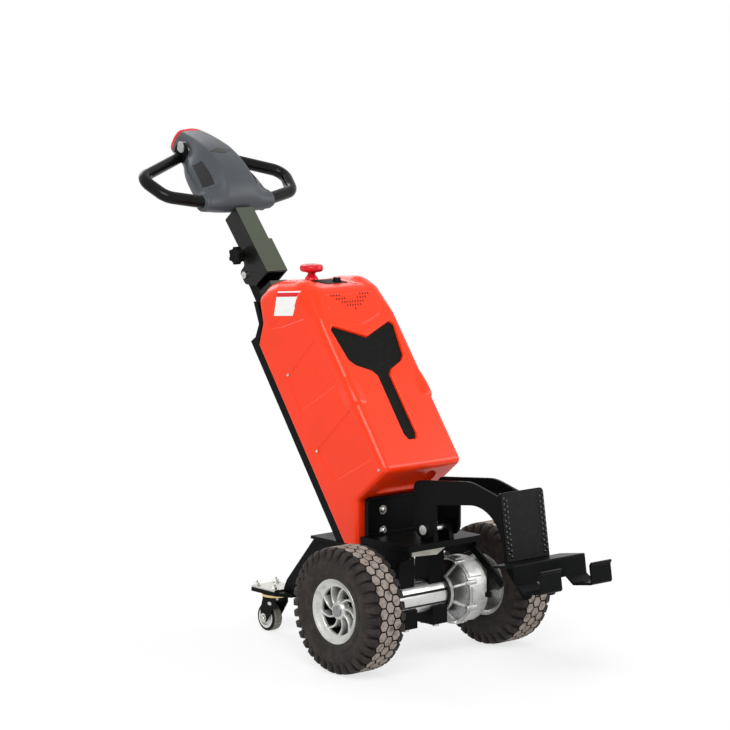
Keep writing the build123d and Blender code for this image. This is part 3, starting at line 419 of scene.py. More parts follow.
def lathe(bm, rows, place=None, segments=48, material=0, closed=False, ends=True):
    """A turned form about X from rows of (offset, radius), closed on itself or capped at its ends."""
    place = place or Matrix.Identity(4)
    loops = [ring(bm, [place @ Vector((x, a, b)) for a, b in disc(radius, segments)]) for x, radius in rows]
    skin(bm, loops + loops[:1] if closed else loops, material)
    if ends and not closed:
        cap(bm, loops[0][::-1], material)
        cap(bm, loops[-1], material)


def towards(x, y, z, axis, own=(0, 0, 1)):
    """A frame at a point whose own Z, or another own direction, follows an axis."""
    turn = Vector(own).rotation_difference(Vector(axis)).to_matrix().to_4x4()
    return Matrix.Translation((x, y, z)) @ turn


def turned(x, y, z, axis=(0, 0, 1)):
    """A frame at a point whose X follows an axis, for turned forms."""
    return towards(x, y, z, axis, (1, 0, 0))


def hex_bolt(bm, place, size, head_height, washer=0.0, material=0, shank=0.0):
    """A hexagon head with a chamfered top, on a round washer and with a shank's end on top where they have a size."""
    if washer:
        prism(bm, disc(size * 0.98, 24), -0.5, washer, place, material, draft=0.3)
    flats = disc(size / 2 / math.cos(math.pi / 6), 6)
    edge, top = washer + head_height * 0.8, washer + head_height
    prism(bm, flats, washer, edge, place, material)
    prism(bm, flats, edge, top, place, material, draft=size * 0.09)
    if shank:
        prism(bm, disc(shank, 16), top, washer + head_height * 1.7, place, material, draft=0.6)


def spin_angles(count):
    """Even angles round a circle."""
    return [2 * math.pi * i / count for i in range(count)]


def disc(radius, count, other=None):
    """A round outline, or an oval one with another radius along y."""
    return [(radius * math.cos(a), (other or radius) * math.sin(a)) for a in spin_angles(count)]


# Tyres and wheels.

LEFT_RIGHT = ((-1, "left"), (1, "right"))
# Hexagonal tread blocks: half length, half width of the flat, gap along the tread, and the rows' places across it.
HEX_POINT, HEX_FLAT, HEX_GAP = 12.9, 6.3, 1.9
HEX_ROWS = ((0, 0.0), (-22.5, 0.5), (22.5, 0.5))
# Where the tread starts to fall towards the shoulder.
CROWN_HALF = 40.0
# Half of the tyre's section as (offset, radius), from the bead over the sidewall to the crown's edge.
TYRE_SECTION = (
    (-37, 77.5), (-44, 79), (-50, 86), (-54.5, 97), (-55.5, 103), (-54.6, 105), (-56.2, 112), (-57.4, 122),
    (-57.0, 132), (-54.0, 141), (-49.0, 148), (-43.0, 153.5),
)
# Outline of an edge block on (offset, arc length), and the path of a shoulder block: offset, radius, foot's radius.
EDGE_BLOCK = ((31.8, 0.0), (37.5, -11.5), (48.0, -10.4), (48.0, 10.4), (37.5, 11.5))
SHOULDER_PATH = ((46.0, 163.2, 150.0), (53.5, 158.5, 146.0), (57.8, 149.0, 140.0), (58.0, 134.0, 134.0))


def on_wheel(side):
    """The frame of a drive wheel, with X along its axle."""
    return AXLE @ Matrix.Translation((side * WHEEL_X, 0, AXLE_Z))


def tread_block(bm, outline, low, high, spread, top=1):
    """One tread block wrapped on the tyre: outline in (offset, arc length) mm, dark flanks and a pale top, dusty and
    with a painted highlight.
    """
    loops = []
    for radius, inset in ((low, 0.0), (high - 1.0, 0.2), (high, 0.9)):
        centre = Vector([sum(p[i] for p in outline) / len(outline) for i in (0, 1)])
        points = []
        for a, b in outline:
            away = Vector((a, b)) - centre
            spot = centre + away * (1 - inset / max(away.length, inset + 1))
            drop = max(0.0, abs(spot.x) - CROWN_HALF)
            reach = radius - spread * drop * drop
            turn = spot.y / TYRE_RADIUS
            points.append((spot.x, reach * math.cos(turn), reach * math.sin(turn)))
        loops.append(ring(bm, points))
    bridge(bm, loops[0], loops[1], 0)
    bridge(bm, loops[1], loops[2], top)
    cap(bm, loops[2], top)


def tyre_mesh(count, depth):
    """The carcass and its tread blocks about X, centred on the wheel."""
    bm = bmesh.new()
    crown = TYRE_RADIUS - depth
    rows = (*TYRE_SECTION, (-30, crown - 0.6), (0, crown))
    full = list(rows) + [(-x, r) for x, r in reversed(rows[:-1])]
    lathe(bm, full, segments=136, closed=True)
    pitch = 2 * math.pi * TYRE_RADIUS / count
    for i in range(count):
        along = pitch * i
        half = pitch / 2
        tall = half - HEX_GAP
        for middle, offset in HEX_ROWS:
            centre = along + offset * pitch
            outline = [(middle + a, centre + b) for a, b in (
                (-HEX_POINT, 0), (-HEX_FLAT, -tall), (HEX_FLAT, -tall), (HEX_POINT, 0), (HEX_FLAT, tall),
                (-HEX_FLAT, tall))]
            tread_block(bm, outline, crown - 3, TYRE_RADIUS, 0.0)
        for side in (-1, 1):
            outline = [(side * a, along + b) for a, b in EDGE_BLOCK]
            # Edge blocks keep the tyre's colour on top, so the painted highlight stays on the middle rows.
            tread_block(bm, outline if side > 0 else outline[::-1], crown - 5, TYRE_RADIUS - 0.6, 0.055, 0)
            shoulder_block(bm, side, along, half * 0.68)
    return bm


def shoulder_block(bm, side, centre, half):
    """A rib that runs from the tread's edge down the shoulder of the tyre."""
    rows = []
    for step, (offset, high, low) in enumerate(SHOULDER_PATH):
        shrink = half * (1 - 0.12 * step)
        row = []
        for b in (-shrink, -shrink + 1.5, shrink - 1.5, shrink):
            corner = abs(b) > shrink - 0.5
            radius = high - (1.6 if corner else 0)
            width = offset - (0.8 if corner else 0)
            turn = (centre + b) / TYRE_RADIUS
            row.append(bm.verts.new((side * width, radius * math.cos(turn), radius * math.sin(turn))))
        feet = []
        for b in (-shrink, shrink):
            turn = (centre + b) / TYRE_RADIUS
            feet.append(bm.verts.new((side * (offset - 6), low * math.cos(turn), low * math.sin(turn))))
        rows.append([feet[0], *row, feet[1]])
    skin(bm, rows, closed=False)
    bm.faces.new(rows[0])
    bm.faces.new(rows[-1])


class TUG_OT_tyres(bpy.types.Operator):
    """Make both drive tyres with their tread blocks"""

    bl_idname = "tug.tyres"
    bl_label = "Drive tyres"

    def execute(self, context):
        sizes = context.scene.tug_sizes
        for side, word in LEFT_RIGHT:
            bm = tyre_mesh(sizes.block_count, sizes.block_height * 1000)
            piece = new_piece(f"treaded_tyre_{word}", bm, f"drive_wheel_{word}", ("tyre", "dust_and_highlight"),
                              on_wheel(side), sharp=50)
            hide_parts(f"tyre_{word}")
        return {"FINISHED"}


# Cover.

COVER_HALF = 137.0
FACE_OUT = 300.0
FOOT_FRONT, COVER_FOOT, BACK_OUT = 113.0, 298.0, 37.0
BACK_FOOT = (COVER_FOOT - BACK_OUT * LEAN_SIN) / LEAN_COS
# Side outline on (y, z), corner radius, and the rounding of the side edge at that corner.
COVER_SIDE = (
    (FOOT_FRONT, COVER_FOOT, 0.5, 12.0),
    (FOOT_FRONT, 417.0, 24.0, 12.0),
    (*leaned(412, FACE_OUT), 16.0, 17.0),
    (*leaned(870, FACE_OUT + 0.3), 300.0, 20.0),
    (*leaned(962, FACE_OUT), 60.0, 45.0),
    (*leaned(1011, 271), 80.0, 45.0),
    (*leaned(1055, 197), 40.0, 45.0),
    (*leaned(1072, 150), 50.0, 45.0),
    (*leaned(1054, 98), 30.0, 28.0),
    (*leaned(990, 84), 4.0, 14.0),
    (*leaned(948, BACK_OUT), 4.0, 8.0),
    (*leaned(BACK_FOOT, BACK_OUT), 0.5, 8.0),
)
# Corners of that outline by their index.
UNDERSIDE, FACE_LOW, FACE_HIGH, RIDGE = 1, 2, 4, 7
# Turns an outline on (y, z) into a solid along x.
SIDEWAYS = Matrix(((0, 0, 1, 0), (1, 0, 0, 0), (0, 1, 0, 0), (0, 0, 0, 1)))
CORNER_STEPS = 6
EDGE_STEPS = 7
STRIDE = CORNER_STEPS + 1
# The floor of the valley between the shoulders: where it leaves the face, and its direction on (along, out).
VALLEY_START = Vector((966.0, 300.0))
VALLEY_RUN = Vector((91.0, -114.0)).normalized()
VALLEY_OUT = Vector((-VALLEY_RUN.y, VALLEY_RUN.x))
VALLEY_WIDTHS = (0, 22, 42, 56, 63, 66, 69, 72, 75, 78, 81, 84, 87)
VALLEY = LEAN @ Matrix((
    (1, 0, 0, 0),
    (0, VALLEY_RUN.x, VALLEY_OUT.x, VALLEY_START.x),
    (0, VALLEY_RUN.y, VALLEY_OUT.y, VALLEY_START.y),
    (0, 0, 0, 1),
))


def cover_loop(phi):
    """The side outline at a turn of the rounded edge: (half width, y, z) for each point."""
    count = len(COVER_SIDE)
    share = 1 - math.cos(phi)
    corners = [Vector(row[:2]) for row in COVER_SIDE]
    rows = []
    for i, (y, z, radius, edge) in enumerate(COVER_SIDE):
        back = (corners[i] - corners[i - 1]).normalized()
        ahead = (corners[(i + 1) % count] - corners[i]).normalized()
        first = 0.0 if i == 0 else edge * share
        second = 0.0 if i == count - 1 else edge * share
        side_a, side_b = Vector((back.y, -back.x)), Vector((ahead.y, -ahead.x))
        cross = side_a.x * side_b.y - side_a.y * side_b.x
        if abs(cross) < 0.02:
            move = (side_a + side_b).normalized() * first
        else:
            move = Vector((first * side_b.y - second * side_a.y, second * side_a.x - first * side_b.x)) / cross
        rows.append((y + move.x, z + move.y, max(radius - edge * share, 0.5)))
    points = []
    for i, (y, z) in enumerate(rounded(rows, CORNER_STEPS)):
        edge = COVER_SIDE[i // STRIDE][3]
        points.append((COVER_HALF - edge + edge * math.sin(phi), y, z))
    return points


# Forked recess on the face and the raised shield above it: x, along, corner radius.
RECESS = (
    (0, 809, 8), (-100, 850, 5), (-112, 838, 5), (-97, 745, 8), (-82, 728, 8), (-34, 706, 8), (-22, 690, 8),
    (-22, 512, 5), (-14, 495, 5), (14, 495, 5), (22, 512, 5), (22, 690, 8), (34, 706, 8), (82, 728, 8), (97, 745, 8),
    (112, 838, 5), (100, 850, 5),
)
SHIELD = ((0, 846, 5), (-75, 873, 8), (-88, 904, 8), (-83, 941, 3), (83, 941, 3), (88, 904, 8), (75, 873, 8))
# Arched hollow in the underside: x, distance up the slope, corner radius.
ARCH = ((-84, 14, 4), (84, 14, 4), (80, 106, 46), (-80, 106, 46))
# Pressed panels on the cover's sides: along the lean, out, corner radius.
SIDE_PANELS = (
    ((813, 98, 5), (837, 250, 9), (696, 266, 9), (712, 92, 6), (770, 87, 30)),
    ((591, 86, 5), (613, 268, 9), (466, 274, 9), (490, 108, 6), (564, 86, 30)),
    ((956, 226, 4), (934, 246, 5), (906, 248, 5), (938, 150, 4), (964, 96, 4)),
)
# Vent holes: along the lean, and from what distance to what distance off the middle; the pitch across.
VENT_ROWS = ((938, 30, 66), (927, 22, 56), (916, 0, 44), (905, 0, 27), (894, 0, 9))
VENT_PITCH = 9.2
# How far outside the surface a patch starts to look for it.
RAY_START = 120.0
# Corners of the label, places of the side screws and section of the strip behind the top, all as (along, out).
LABEL_CORNERS = ((1023, 194), (978, 270), (938, 208), (977, 143))
SIDE_SCREWS = ((817, 100), (590, 86), (429, 277))
BACK_STRIP = ((930, 36), (951, 38), (992, 84.6), (1050, 97), (1058, 84), (996, 68), (966, 20), (930, 16))


def offset_loop(points, distance):
    """A closed outline moved outwards by a distance."""
    area = sum(a[0] * b[1] - b[0] * a[1] for a, b in zip(points, points[1:] + points[:1]))
    sign = 1 if area > 0 else -1
    moved = []
    count = len(points)
    for i, point in enumerate(points):
        back = (Vector(point) - Vector(points[i - 1])).normalized()
        ahead = (Vector(points[(i + 1) % count]) - Vector(point)).normalized()
        along = (back + ahead).normalized()
        out = Vector((along.y, -along.x)) * sign
        moved.append(tuple(Vector(point) + out * distance))
    return moved


def pressed(bm, outline, steps, to_point):
    """A pressed form over an outline: steps of (outward offset, height). Gives its outer loop's edges."""
    loops = [ring(bm, [to_point(a, b, height) for a, b in offset_loop(outline, out)]) for out, height in steps]
    skin(bm, loops)
    cap(bm, loops[-1])
    return loop_edges(bm, loops[0])


def loop_edges(bm, loop, closed=True):
    """The edges along a row of vertices, made where they are missing."""
    pairs = list(zip(loop, loop[1:] + loop[:1] if closed else loop[1:]))
    return [bm.edges.get(pair) or bm.edges.new(pair) for pair in pairs]


def on_face(a, b, height):
    """A point of the cover's front face: x, along the lean, height above the face."""
    y, z = leaned(b, FACE_OUT + height)
    return (a, y, z)


def valley_row(bm, left, right, flat):
    """The vertices across the cover's top between its two crests, sunk to the valley's floor."""
    crest = LEAN.inverted() @ AXLE @ left.co
    along = Vector((crest.y, crest.z))
    gap = (along - VALLEY_START).dot(VALLEY_OUT)
    depth = 0.0 if flat else (gap + math.sqrt(gap * gap + 12.0)) / 2
    row = [left]
    for x in [-w for w in VALLEY_WIDTHS[:0:-1]] + list(VALLEY_WIDTHS):
        share = min(max((88.0 - abs(x)) / 20.0, 0.0), 1.0)
        share = share * share * (3 - 2 * share)
        spot = along - VALLEY_OUT * depth * share
        row.append(bm.verts.new((x, *leaned(spot.x, spot.y))))
    return row + [right]


def cover_mesh():
    """The cover's skin: round shoulders, the valley between them, recess, shield, arch and side panels."""
    bm = bmesh.new()
    turns = [math.pi / 2 * i / EDGE_STEPS for i in range(EDGE_STEPS + 1)]
    loops = {}
    for side in (-1, 1):
        for i, phi in enumerate(turns):
            loops[side, i] = ring(bm, [(side * x, y, z) for x, y, z in cover_loop(phi)])
        for i in range(EDGE_STEPS):
            bridge(bm, loops[side, i], loops[side, i + 1])
    left, right = loops[-1, 0], loops[1, 0]
    count = len(left)
    low_end = (UNDERSIDE + 1) * STRIDE - 1
    face_first, face_last, ridge_last = (FACE_LOW + 1) * STRIDE - 1, FACE_HIGH * STRIDE, (RIDGE + 1) * STRIDE - 1
    ends = face_last, ridge_last
    rows = [valley_row(bm, left[i], right[i], i in ends) for i in range(face_last, ridge_last + 1)]
    skin(bm, rows, closed=False)
    for i in range(count):
        j = (i + 1) % count
        if i == low_end or face_first <= i < ridge_last:
            continue
        head = rows[-1] if i == ridge_last else [left[i], right[i]]
        bm.faces.new([left[j], *head, right[j]])
    face_edges = loop_edges(bm, left[face_first:face_last + 1], False)
    face_edges += loop_edges(bm, right[face_first:face_last + 1], False)
    face_edges += loop_edges(bm, rows[0], False) + loop_edges(bm, [left[face_first], right[face_first]], False)
    face_edges += pressed(bm, rounded(RECESS, 4), (
        (3.6, 0.0), (2.4, -0.3), (1.2, -1.1), (0.5, -2.4), (0.0, -4.2), (-0.3, -8.0)), on_face)
    face_edges += pressed(bm, rounded(SHIELD, 4), (
        (3.4, 0.0), (2.2, 0.2), (0.8, 1.6), (-0.6, 2.4), (-2.0, 2.6)), on_face)
    bmesh.ops.triangle_fill(bm, use_beauty=True, edges=face_edges)
    start, end = left[low_end].co.copy(), left[low_end + 1].co.copy()
    run = Vector((0, end.y - start.y, end.z - start.z)).normalized()
    out = Vector((0, -run.z, run.y))

    def on_underside(a, b, height):
        return Vector((a, start.y, start.z)) + run * b + out * height

    edges = loop_edges(bm, [left[low_end], left[low_end + 1], right[low_end + 1], right[low_end]])
    edges += pressed(bm, rounded(ARCH, 6), (
        (2.6, 0.0), (1.2, -0.5), (0.0, -2.2), (-1.0, -5.0), (-3.0, -9.0), (-7.0, -11.5)), on_underside)
    bmesh.ops.triangle_fill(bm, use_beauty=True, edges=edges)
    for side in (-1, 1):
        edges = loop_edges(bm, loops[side, EDGE_STEPS])

        def on_side(a, b, height, side=side):
            y, z = leaned(a, b)
            return (side * (COVER_HALF + height), y, z)

        for rows in SIDE_PANELS:
            edges += pressed(bm, rounded(rows, 4), (
                (3.2, 0.0), (2.0, -0.3), (0.8, -1.6), (-0.6, -2.5), (-2.4, -2.8)), on_side)
        bmesh.ops.triangle_fill(bm, use_beauty=True, edges=edges)
        finger_pocket(bm, side)
    return bm


def finger_pocket(bm, side):
    """The swelling on the cover's front edge that the fingers reach behind."""
    profile = (
        (612, 0.0), (615, 3.2), (619, 5.4), (626, 6.6), (640, 7.0), (658, 6.0), (676, 4.0), (692, 1.6), (704, 0.0),
    )
    path = [(92.0, 299.4, 0, 1), (104.0, 299.6, 0, 1), (118.0, 300.0, 0, 1)]
    for i in range(1, 7):
        turn = math.pi / 2 * i / 7
        path.append((118 + 19 * math.sin(turn), 281 + 19 * math.cos(turn), math.sin(turn), math.cos(turn)))
    path += [(137.0, 281.0, 1, 0), (136.8, 266.0, 1, 0), (136.6, 252.0, 1, 0)]
    rows = []
    for along, height in profile:
        row = []
        for i, (x, out, away, ahead) in enumerate(path):
            swell = height * math.sin(math.pi * i / (len(path) - 1)) ** 0.7 - 0.6
            y, z = leaned(along, out + ahead * swell)
            row.append(bm.verts.new((side * (x + away * swell), y, z)))
        rows.append(row)
    skin(bm, rows, closed=False)


def laid_patch(bm, tree, corners, steps, aim, lift, band=None):
    """A thin patch on a surface, from four corners seen along an aim, with a band (first, last, material) in it."""
    grid = []
    for i in range(steps + 1):
        row = []
        for j in range(steps + 1):
            u, v = i / steps, j / steps
            a = Vector(corners[0]).lerp(Vector(corners[1]), u)
            b = Vector(corners[3]).lerp(Vector(corners[2]), u)
            spot = a.lerp(b, v)
            hit = tree.ray_cast(spot - Vector(aim) * RAY_START, Vector(aim))[0]
            row.append(bm.verts.new(hit - Vector(aim) * lift))
        grid.append(row)
    for first, second in zip(grid, grid[1:]):
        for k, face in enumerate(bridge(bm, first, second, closed=False)):
            if band and band[0] <= k < band[1]:
                face.material_index = band[2]
    rim = [row[0] for row in grid] + grid[-1][1:] + [row[-1] for row in grid[-2::-1]] + grid[0][-2:0:-1]
    skirt = ring(bm, [vert.co + Vector(aim) * (lift + 0.6) for vert in rim])
    bridge(bm, rim, skirt)


class TUG_OT_cover(bpy.types.Operator):
    """Make the moulded battery cover with its pressed forms, recess insert, label and screws"""

    bl_idname = "tug.cover"
    bl_label = "Battery cover"

    def execute(self, context):
        bm = cover_mesh()
        tree = BVHTree.FromBMesh(bm)
        piece = new_piece("moulded_cover", bm, "chassis", ("cover",), sharp=60)
        weighted = piece.modifiers.new("flat_faces", "WEIGHTED_NORMAL")
        weighted.keep_sharp = True
        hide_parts("cover")
        bm = bmesh.new()
        prism(bm, offset_loop(rounded(RECESS, 4), -0.9), -7.9, -6.6, Matrix.Translation((0, 0, FACE_OUT)), draft=0.8)
        insert = new_piece("recess_insert", bm, "chassis", ("grained",), LEAN)
        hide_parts("cover_recess")
        # Vent holes drawn as black ovals just proud of the face and shield: painted shade for the dark inside of the
        # holes.
        bm = bmesh.new()
        for row, (along, low, high) in enumerate(VENT_ROWS):
            for step in range(-9, 10):
                x = (step + (0.5 if row % 2 else 0)) * VENT_PITCH
                if low <= abs(x) <= high:
                    prism(bm, [(x + a, along + b) for a, b in disc(1.9, 8, 3.2)], FACE_OUT, FACE_OUT + 2.9)
        new_piece("vent_holes_painted_shade", bm, "chassis", ("grained",), LEAN)
        bm = bmesh.new()
        corners = [(-COVER_HALF, *leaned(*spot)) for spot in LABEL_CORNERS]
        laid_patch(bm, tree, corners, 18, (1, 0, 0), 1.1, (1, 4, 1))
        new_piece("cover_label", bm, "chassis", ("label", "signal"))
        bm = bmesh.new()
        for side in (-1, 1):
            for along, out in SIDE_SCREWS:
                lathe(bm, ((0, 4.2), (1.3, 4.0), (1.9, 2.6), (1.2, 2.0), (1.2, 0.2)),
                      turned(side * COVER_HALF, *leaned(along, out), (side, 0, 0)), 20)
        new_piece("cover_screws", bm, "chassis", ("zinc",))
        bm = bmesh.new()
        strip = [leaned(*spot) for spot in BACK_STRIP]
        prism(bm, strip, 4 - COVER_HALF, COVER_HALF - 4, SIDEWAYS)
        new_piece("cover_back_strip", bm, "chassis", ("frame",), sharp=30, bevel=1.5)
        return {"FINISHED"}


# Controls on the cover's top.

# Along the valley's floor: the knob's foot, the key's place on (x, along) and the plate under it.
KNOB_FOOT = 140.0
KEY_SPOT = (34, 74)
KEY_PLATE = ((-20, 50, 5), (56, 50, 5), (56, 122, 5), (-20, 122, 5))


class TUG_OT_controls(bpy.types.Operator):
    """Make the emergency knob, its collar and the key switch on its black plate"""

    bl_idname = "tug.controls"
    bl_label = "Cover controls"

    def execute(self, context):
        low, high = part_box("emergency_knob")
        reach = (high.x - low.x) * 500
        top = high.z * 1000
        y = (high.y + low.y) * 500 - AXLE_Y * 1000
        foot = VALLEY_START + VALLEY_RUN * KNOB_FOOT
        base = leaned(foot.x, foot.y)[1]
        bm = bmesh.new()
        rows = (
            (base - top - 9, 19), (base - top + 1, 19), (base - top + 4, 18), (base - top + 9, 14.5), (-29, 11),
            (-25, 10.5), (-22, reach * 0.5), (-20.5, reach * 0.82), (-18, reach * 0.95), (-14, reach),
            (-7, reach * 0.995), (-3.2, reach * 0.94), (-1.0, reach * 0.8), (-0.2, reach * 0.6), (-1.2, reach * 0.46),
            (-1.4, reach * 0.2), (-1.4, 0.2),
        )
        lathe(bm, rows, turned(0, y, top), 48)
        knob = new_piece("emergency_button", bm, "chassis", ("signal",), sharp=50)
        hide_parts("emergency_knob")
        bm = bmesh.new()
        prism(bm, rounded(KEY_PLATE, 3), -3, 1.2, draft=0.8)
        lathe(bm, ((0, 12.5), (3, 12.5), (5, 11), (10, 10), (11.5, 8.5), (11, 6.5), (9, 6), (9, 0.2)),
              turned(*KEY_SPOT, 1.0), 32)
        new_piece("key_plate", bm, "chassis", ("grained",), VALLEY)
        bm = bmesh.new()
        lathe(bm, ((0, 5.6), (1.2, 5.6), (1.8, 5.0), (1.8, 0.2)), turned(*KEY_SPOT, 10.0), 24)
        new_piece("key_barrel", bm, "chassis", ("zinc",), VALLEY)
        return {"FINISHED"}


# Tiller head.

# Rings of the head: distance up the head, then (x, out) of its right half from the top's middle to the bottom's.
HEAD_RINGS = (
    (-28, ((0, 7), (50, 7), (80, 6), (112, 6), (119, 3), (119, -4), (100, -8), (0, -9))),
    (-22, ((0, 26), (50, 25), (80, 18), (112, 17), (121, 12), (121, -12), (100, -20), (0, -24))),
    (-8, ((0, 44), (50, 41), (84, 27), (112, 26), (122, 20), (122, -20), (100, -32), (0, -38))),
    (10, ((0, 58), (50, 54), (86, 28), (112, 27), (122, 20), (122, -20), (100, -32), (0, -44))),
    (26, ((0, 66), (50, 62), (86, 22), (110, 20), (120, 14), (120, -16), (98, -30), (0, -42))),
    (36, ((0, 71), (48, 67), (84, 30), (110, 23), (117, 11), (116, -14), (98, -30), (0, -42))),
    (60, ((0, 79), (46, 76), (76, 44), (104, 28), (112, 14), (111, -18), (94, -34), (0, -42))),
    (100, ((0, 84), (45, 81), (72, 50), (98, 33), (107, 16), (106, -14), (86, -26), (0, -34))),
    (140, ((0, 84), (45, 80), (68, 52), (88, 34), (96, 15), (94, -12), (74, -22), (0, -26))),
    (170, ((0, 80), (44, 76), (62, 52), (72, 30), (76, 10), (74, -12), (60, -22), (0, -24))),
    (200, ((0, 74), (42, 70), (54, 50), (58, 28), (60, 8), (58, -12), (48, -22), (0, -23))),
    (240, ((0, 64), (40, 60), (50, 44), (53, 24), (54, 6), (52, -14), (44, -23), (0, -24))),
    (272, ((0, 54), (38, 50), (47, 38), (50, 20), (50, 4), (49, -15), (42, -24), (0, -25))),
)
# The red cap: distance up the head and size of each ring.
CAP_RINGS = ((272, 1.0), (282, 0.985), (288.5, 0.93), (290, 0.80))
# The round bar across the head's lower end that holds the hand loops: its place, its half section and its seams.
HEAD_BARREL = Matrix.Translation((0, 5, -4))
BARREL_ROWS = ((122.5, 17.6), (123.5, 20.5), (122.5, 23.4), (119.0, 25.6), (100, 27.4), (70, 29.0), (38, 30.0))
BARREL_SEAMS = (-36, 92)
# Crease of the lines that run along the head, by the point of the ring: the top's edges and the flanks' edges.
HEAD_CREASES = {1: 0.55, 13: 0.55, 3: 0.45, 11: 0.45, 4: 0.3, 10: 0.3}
# Corners of a side window on (x, along), half size and middle of the slot on top, and the cheek discs' section.
HEAD_WINDOW = ((90, 126), (68, 122), (74, 32), (107, 38))
HEAD_SLOT = ((-46, 0), (-5, 15), (36, 0), (-5, -15))
SLOT_ALONG = 131
CHEEK_ROWS = ((44, 31), (56, 31.5), (60, 30), (62, 27), (60, 24))


def head_ring(bm, along, half, scale=1.0):
    """One ring of the head, mirrored from its right half."""
    middle = sum(row[1] for row in half) / len(half)
    spots = [(x * scale, middle + (out - middle) * scale) for x, out in half]
    full = spots + [(-x, out) for x, out in spots[-2:0:-1]]
    return ring(bm, [(x, along, out) for x, out in full])


def close_ring(bm, loop):
    """Close an end ring with three quads on each side."""
    for a, b, c, d in ((0, 1, 6, 7), (1, 2, 5, 6), (2, 3, 4, 5), (0, 7, 8, 13), (13, 8, 9, 12), (12, 9, 10, 11)):
        bm.faces.new((loop[a], loop[b], loop[c], loop[d]))


def smoothed(bm, levels):
    """The same mesh after rounds of smooth subdivision."""
    mesh = bpy.data.meshes.new("cage")
    bmesh.ops.recalc_face_normals(bm, faces=bm.faces)
    bm.to_mesh(mesh)
    bm.free()
    holder = bpy.data.objects.new("cage", mesh)
    bpy.context.scene.collection.objects.link(holder)
    holder.modifiers.new("smooth", "SUBSURF").levels = levels
    made = holder.evaluated_get(bpy.context.evaluated_depsgraph_get()).to_mesh()
    result = bmesh.new()
    result.from_mesh(made)
    bpy.data.objects.remove(holder)
    bpy.data.meshes.remove(mesh)
    return result


class TUG_OT_head(bpy.types.Operator):
    """Make the moulded tiller head, its red rear cap, its side windows and the slot on its top"""

    bl_idname = "tug.head"
    bl_label = "Tiller head"

    def execute(self, context):
        bm = bmesh.new()
        loops = [head_ring(bm, along, half) for along, half in HEAD_RINGS]
        skin(bm, loops)
        close_ring(bm, loops[0])
        crease = bm.edges.layers.float.new("crease_edge")
        for first, second in zip(loops, loops[1:]):
            for index, amount in HEAD_CREASES.items():
                bm.edges.get((first[index], second[index]))[crease] = amount
        bm = smoothed(bm, 3)
        lathe(bm, BARREL_ROWS + tuple((-x, r) for x, r in BARREL_ROWS[::-1]), HEAD_BARREL, 56)
        tree = BVHTree.FromBMesh(bm)
        piece = new_piece("moulded_head", bm, "column", ("head",), HEAD, sharp=80)
        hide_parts("head_housing")
        bm = bmesh.new()
        loops = [head_ring(bm, along, HEAD_RINGS[-1][1], scale) for along, scale in CAP_RINGS]
        skin(bm, loops)
        close_ring(bm, loops[-1])
        piece = new_piece("rear_cap", smoothed(bm, 3), "column", ("signal",), HEAD, sharp=80)
        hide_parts("head_cap")
        bm = bmesh.new()
        for side in (-1, 1):
            corners = [(side * x, along, 60) for x, along in HEAD_WINDOW]
            laid_patch(bm, tree, corners, 12, (0, 0, -1), 0.5)
        slot = [(x, SLOT_ALONG + along, 60) for x, along in HEAD_SLOT]
        laid_patch(bm, tree, slot, 10, (0, 0, -1), 0.5)
        low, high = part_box("head_cheeks")
        middle = HEAD.inverted() @ Vector((0, (low.y + high.y) / 2, (low.z + high.z) / 2))
        for side in (-1, 1):
            lathe(bm, [(side * x, r) for x, r in CHEEK_ROWS], Matrix.Translation((0, middle.y, middle.z)), 56)
        for offset in BARREL_SEAMS:
            lathe(bm, ((offset - 0.6, 25), (offset - 0.6, 30.6), (offset + 0.6, 30.6), (offset + 0.6, 25)),
                  HEAD_BARREL, 56, closed=True)
        new_piece("head_windows", bm, "column", ("gloss",), HEAD)
        return {"FINISHED"}


# Wheels' rims.

SPOKES = 9
# How far a spoke turns from the hub to the rim.
SPOKE_SWEEP = math.radians(30)


class TUG_OT_rims(bpy.types.Operator):
    """Make both drive rims with nine curved spokes over a dark backing that paints the shade in the openings between
    the spokes
    """

    bl_idname = "tug.rims"
    bl_label = "Drive rims"

    def execute(self, context):
        for side, word in LEFT_RIGHT:
            bm = bmesh.new()
            barrel = (
                (46.5, 77.0), (49.5, 81.5), (51.0, 84.0), (49.2, 85.0), (46.0, 81.8), (43.4, 77.4), (-43.4, 77.4),
                (-46.0, 81.8), (-49.2, 85.0), (-51.0, 84.0), (-46.5, 77.0), (-42.0, 72.0), (6.0, 69.0), (6.0, 24.0),
                (9.0, 24.0),
            )
            lathe(bm, [(side * x, r) for x, r in barrel], segments=72, ends=False)
            face = ((9.0, 22.0), (9.0, 60.0), (31.0, 62.0), (37.0, 62.6), (39.4, 64.0), (40.8, 67.0), (42.2, 73.0),
                    (46.5, 77.0))
            loops = [ring(bm, [(side * x, a, b) for a, b in disc(r, 72)]) for x, r in face]
            # The first two face rings, the disc behind the spokes and the wall round it, take the black motor enamel:
            # painted shade for the openings between the spokes.
            for k, (first, second) in enumerate(zip(loops, loops[1:])):
                bridge(bm, first, second, 1 if k < 2 else 0)
            lathe(bm, [(side * x, r) for x, r in ((9, 27.0), (28, 26.0), (35, 24.5), (39, 20.5), (39.5, 12))],
                  segments=48)
            for angle in spin_angles(SPOKES):
                rim_spoke(bm, side, angle)
            piece = new_piece(f"spoked_rim_{word}", bm, f"drive_wheel_{word}", ("rim", "motor"),
                              on_wheel(side), sharp=35)
            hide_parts(f"rim_{word}")
        return {"FINISHED"}


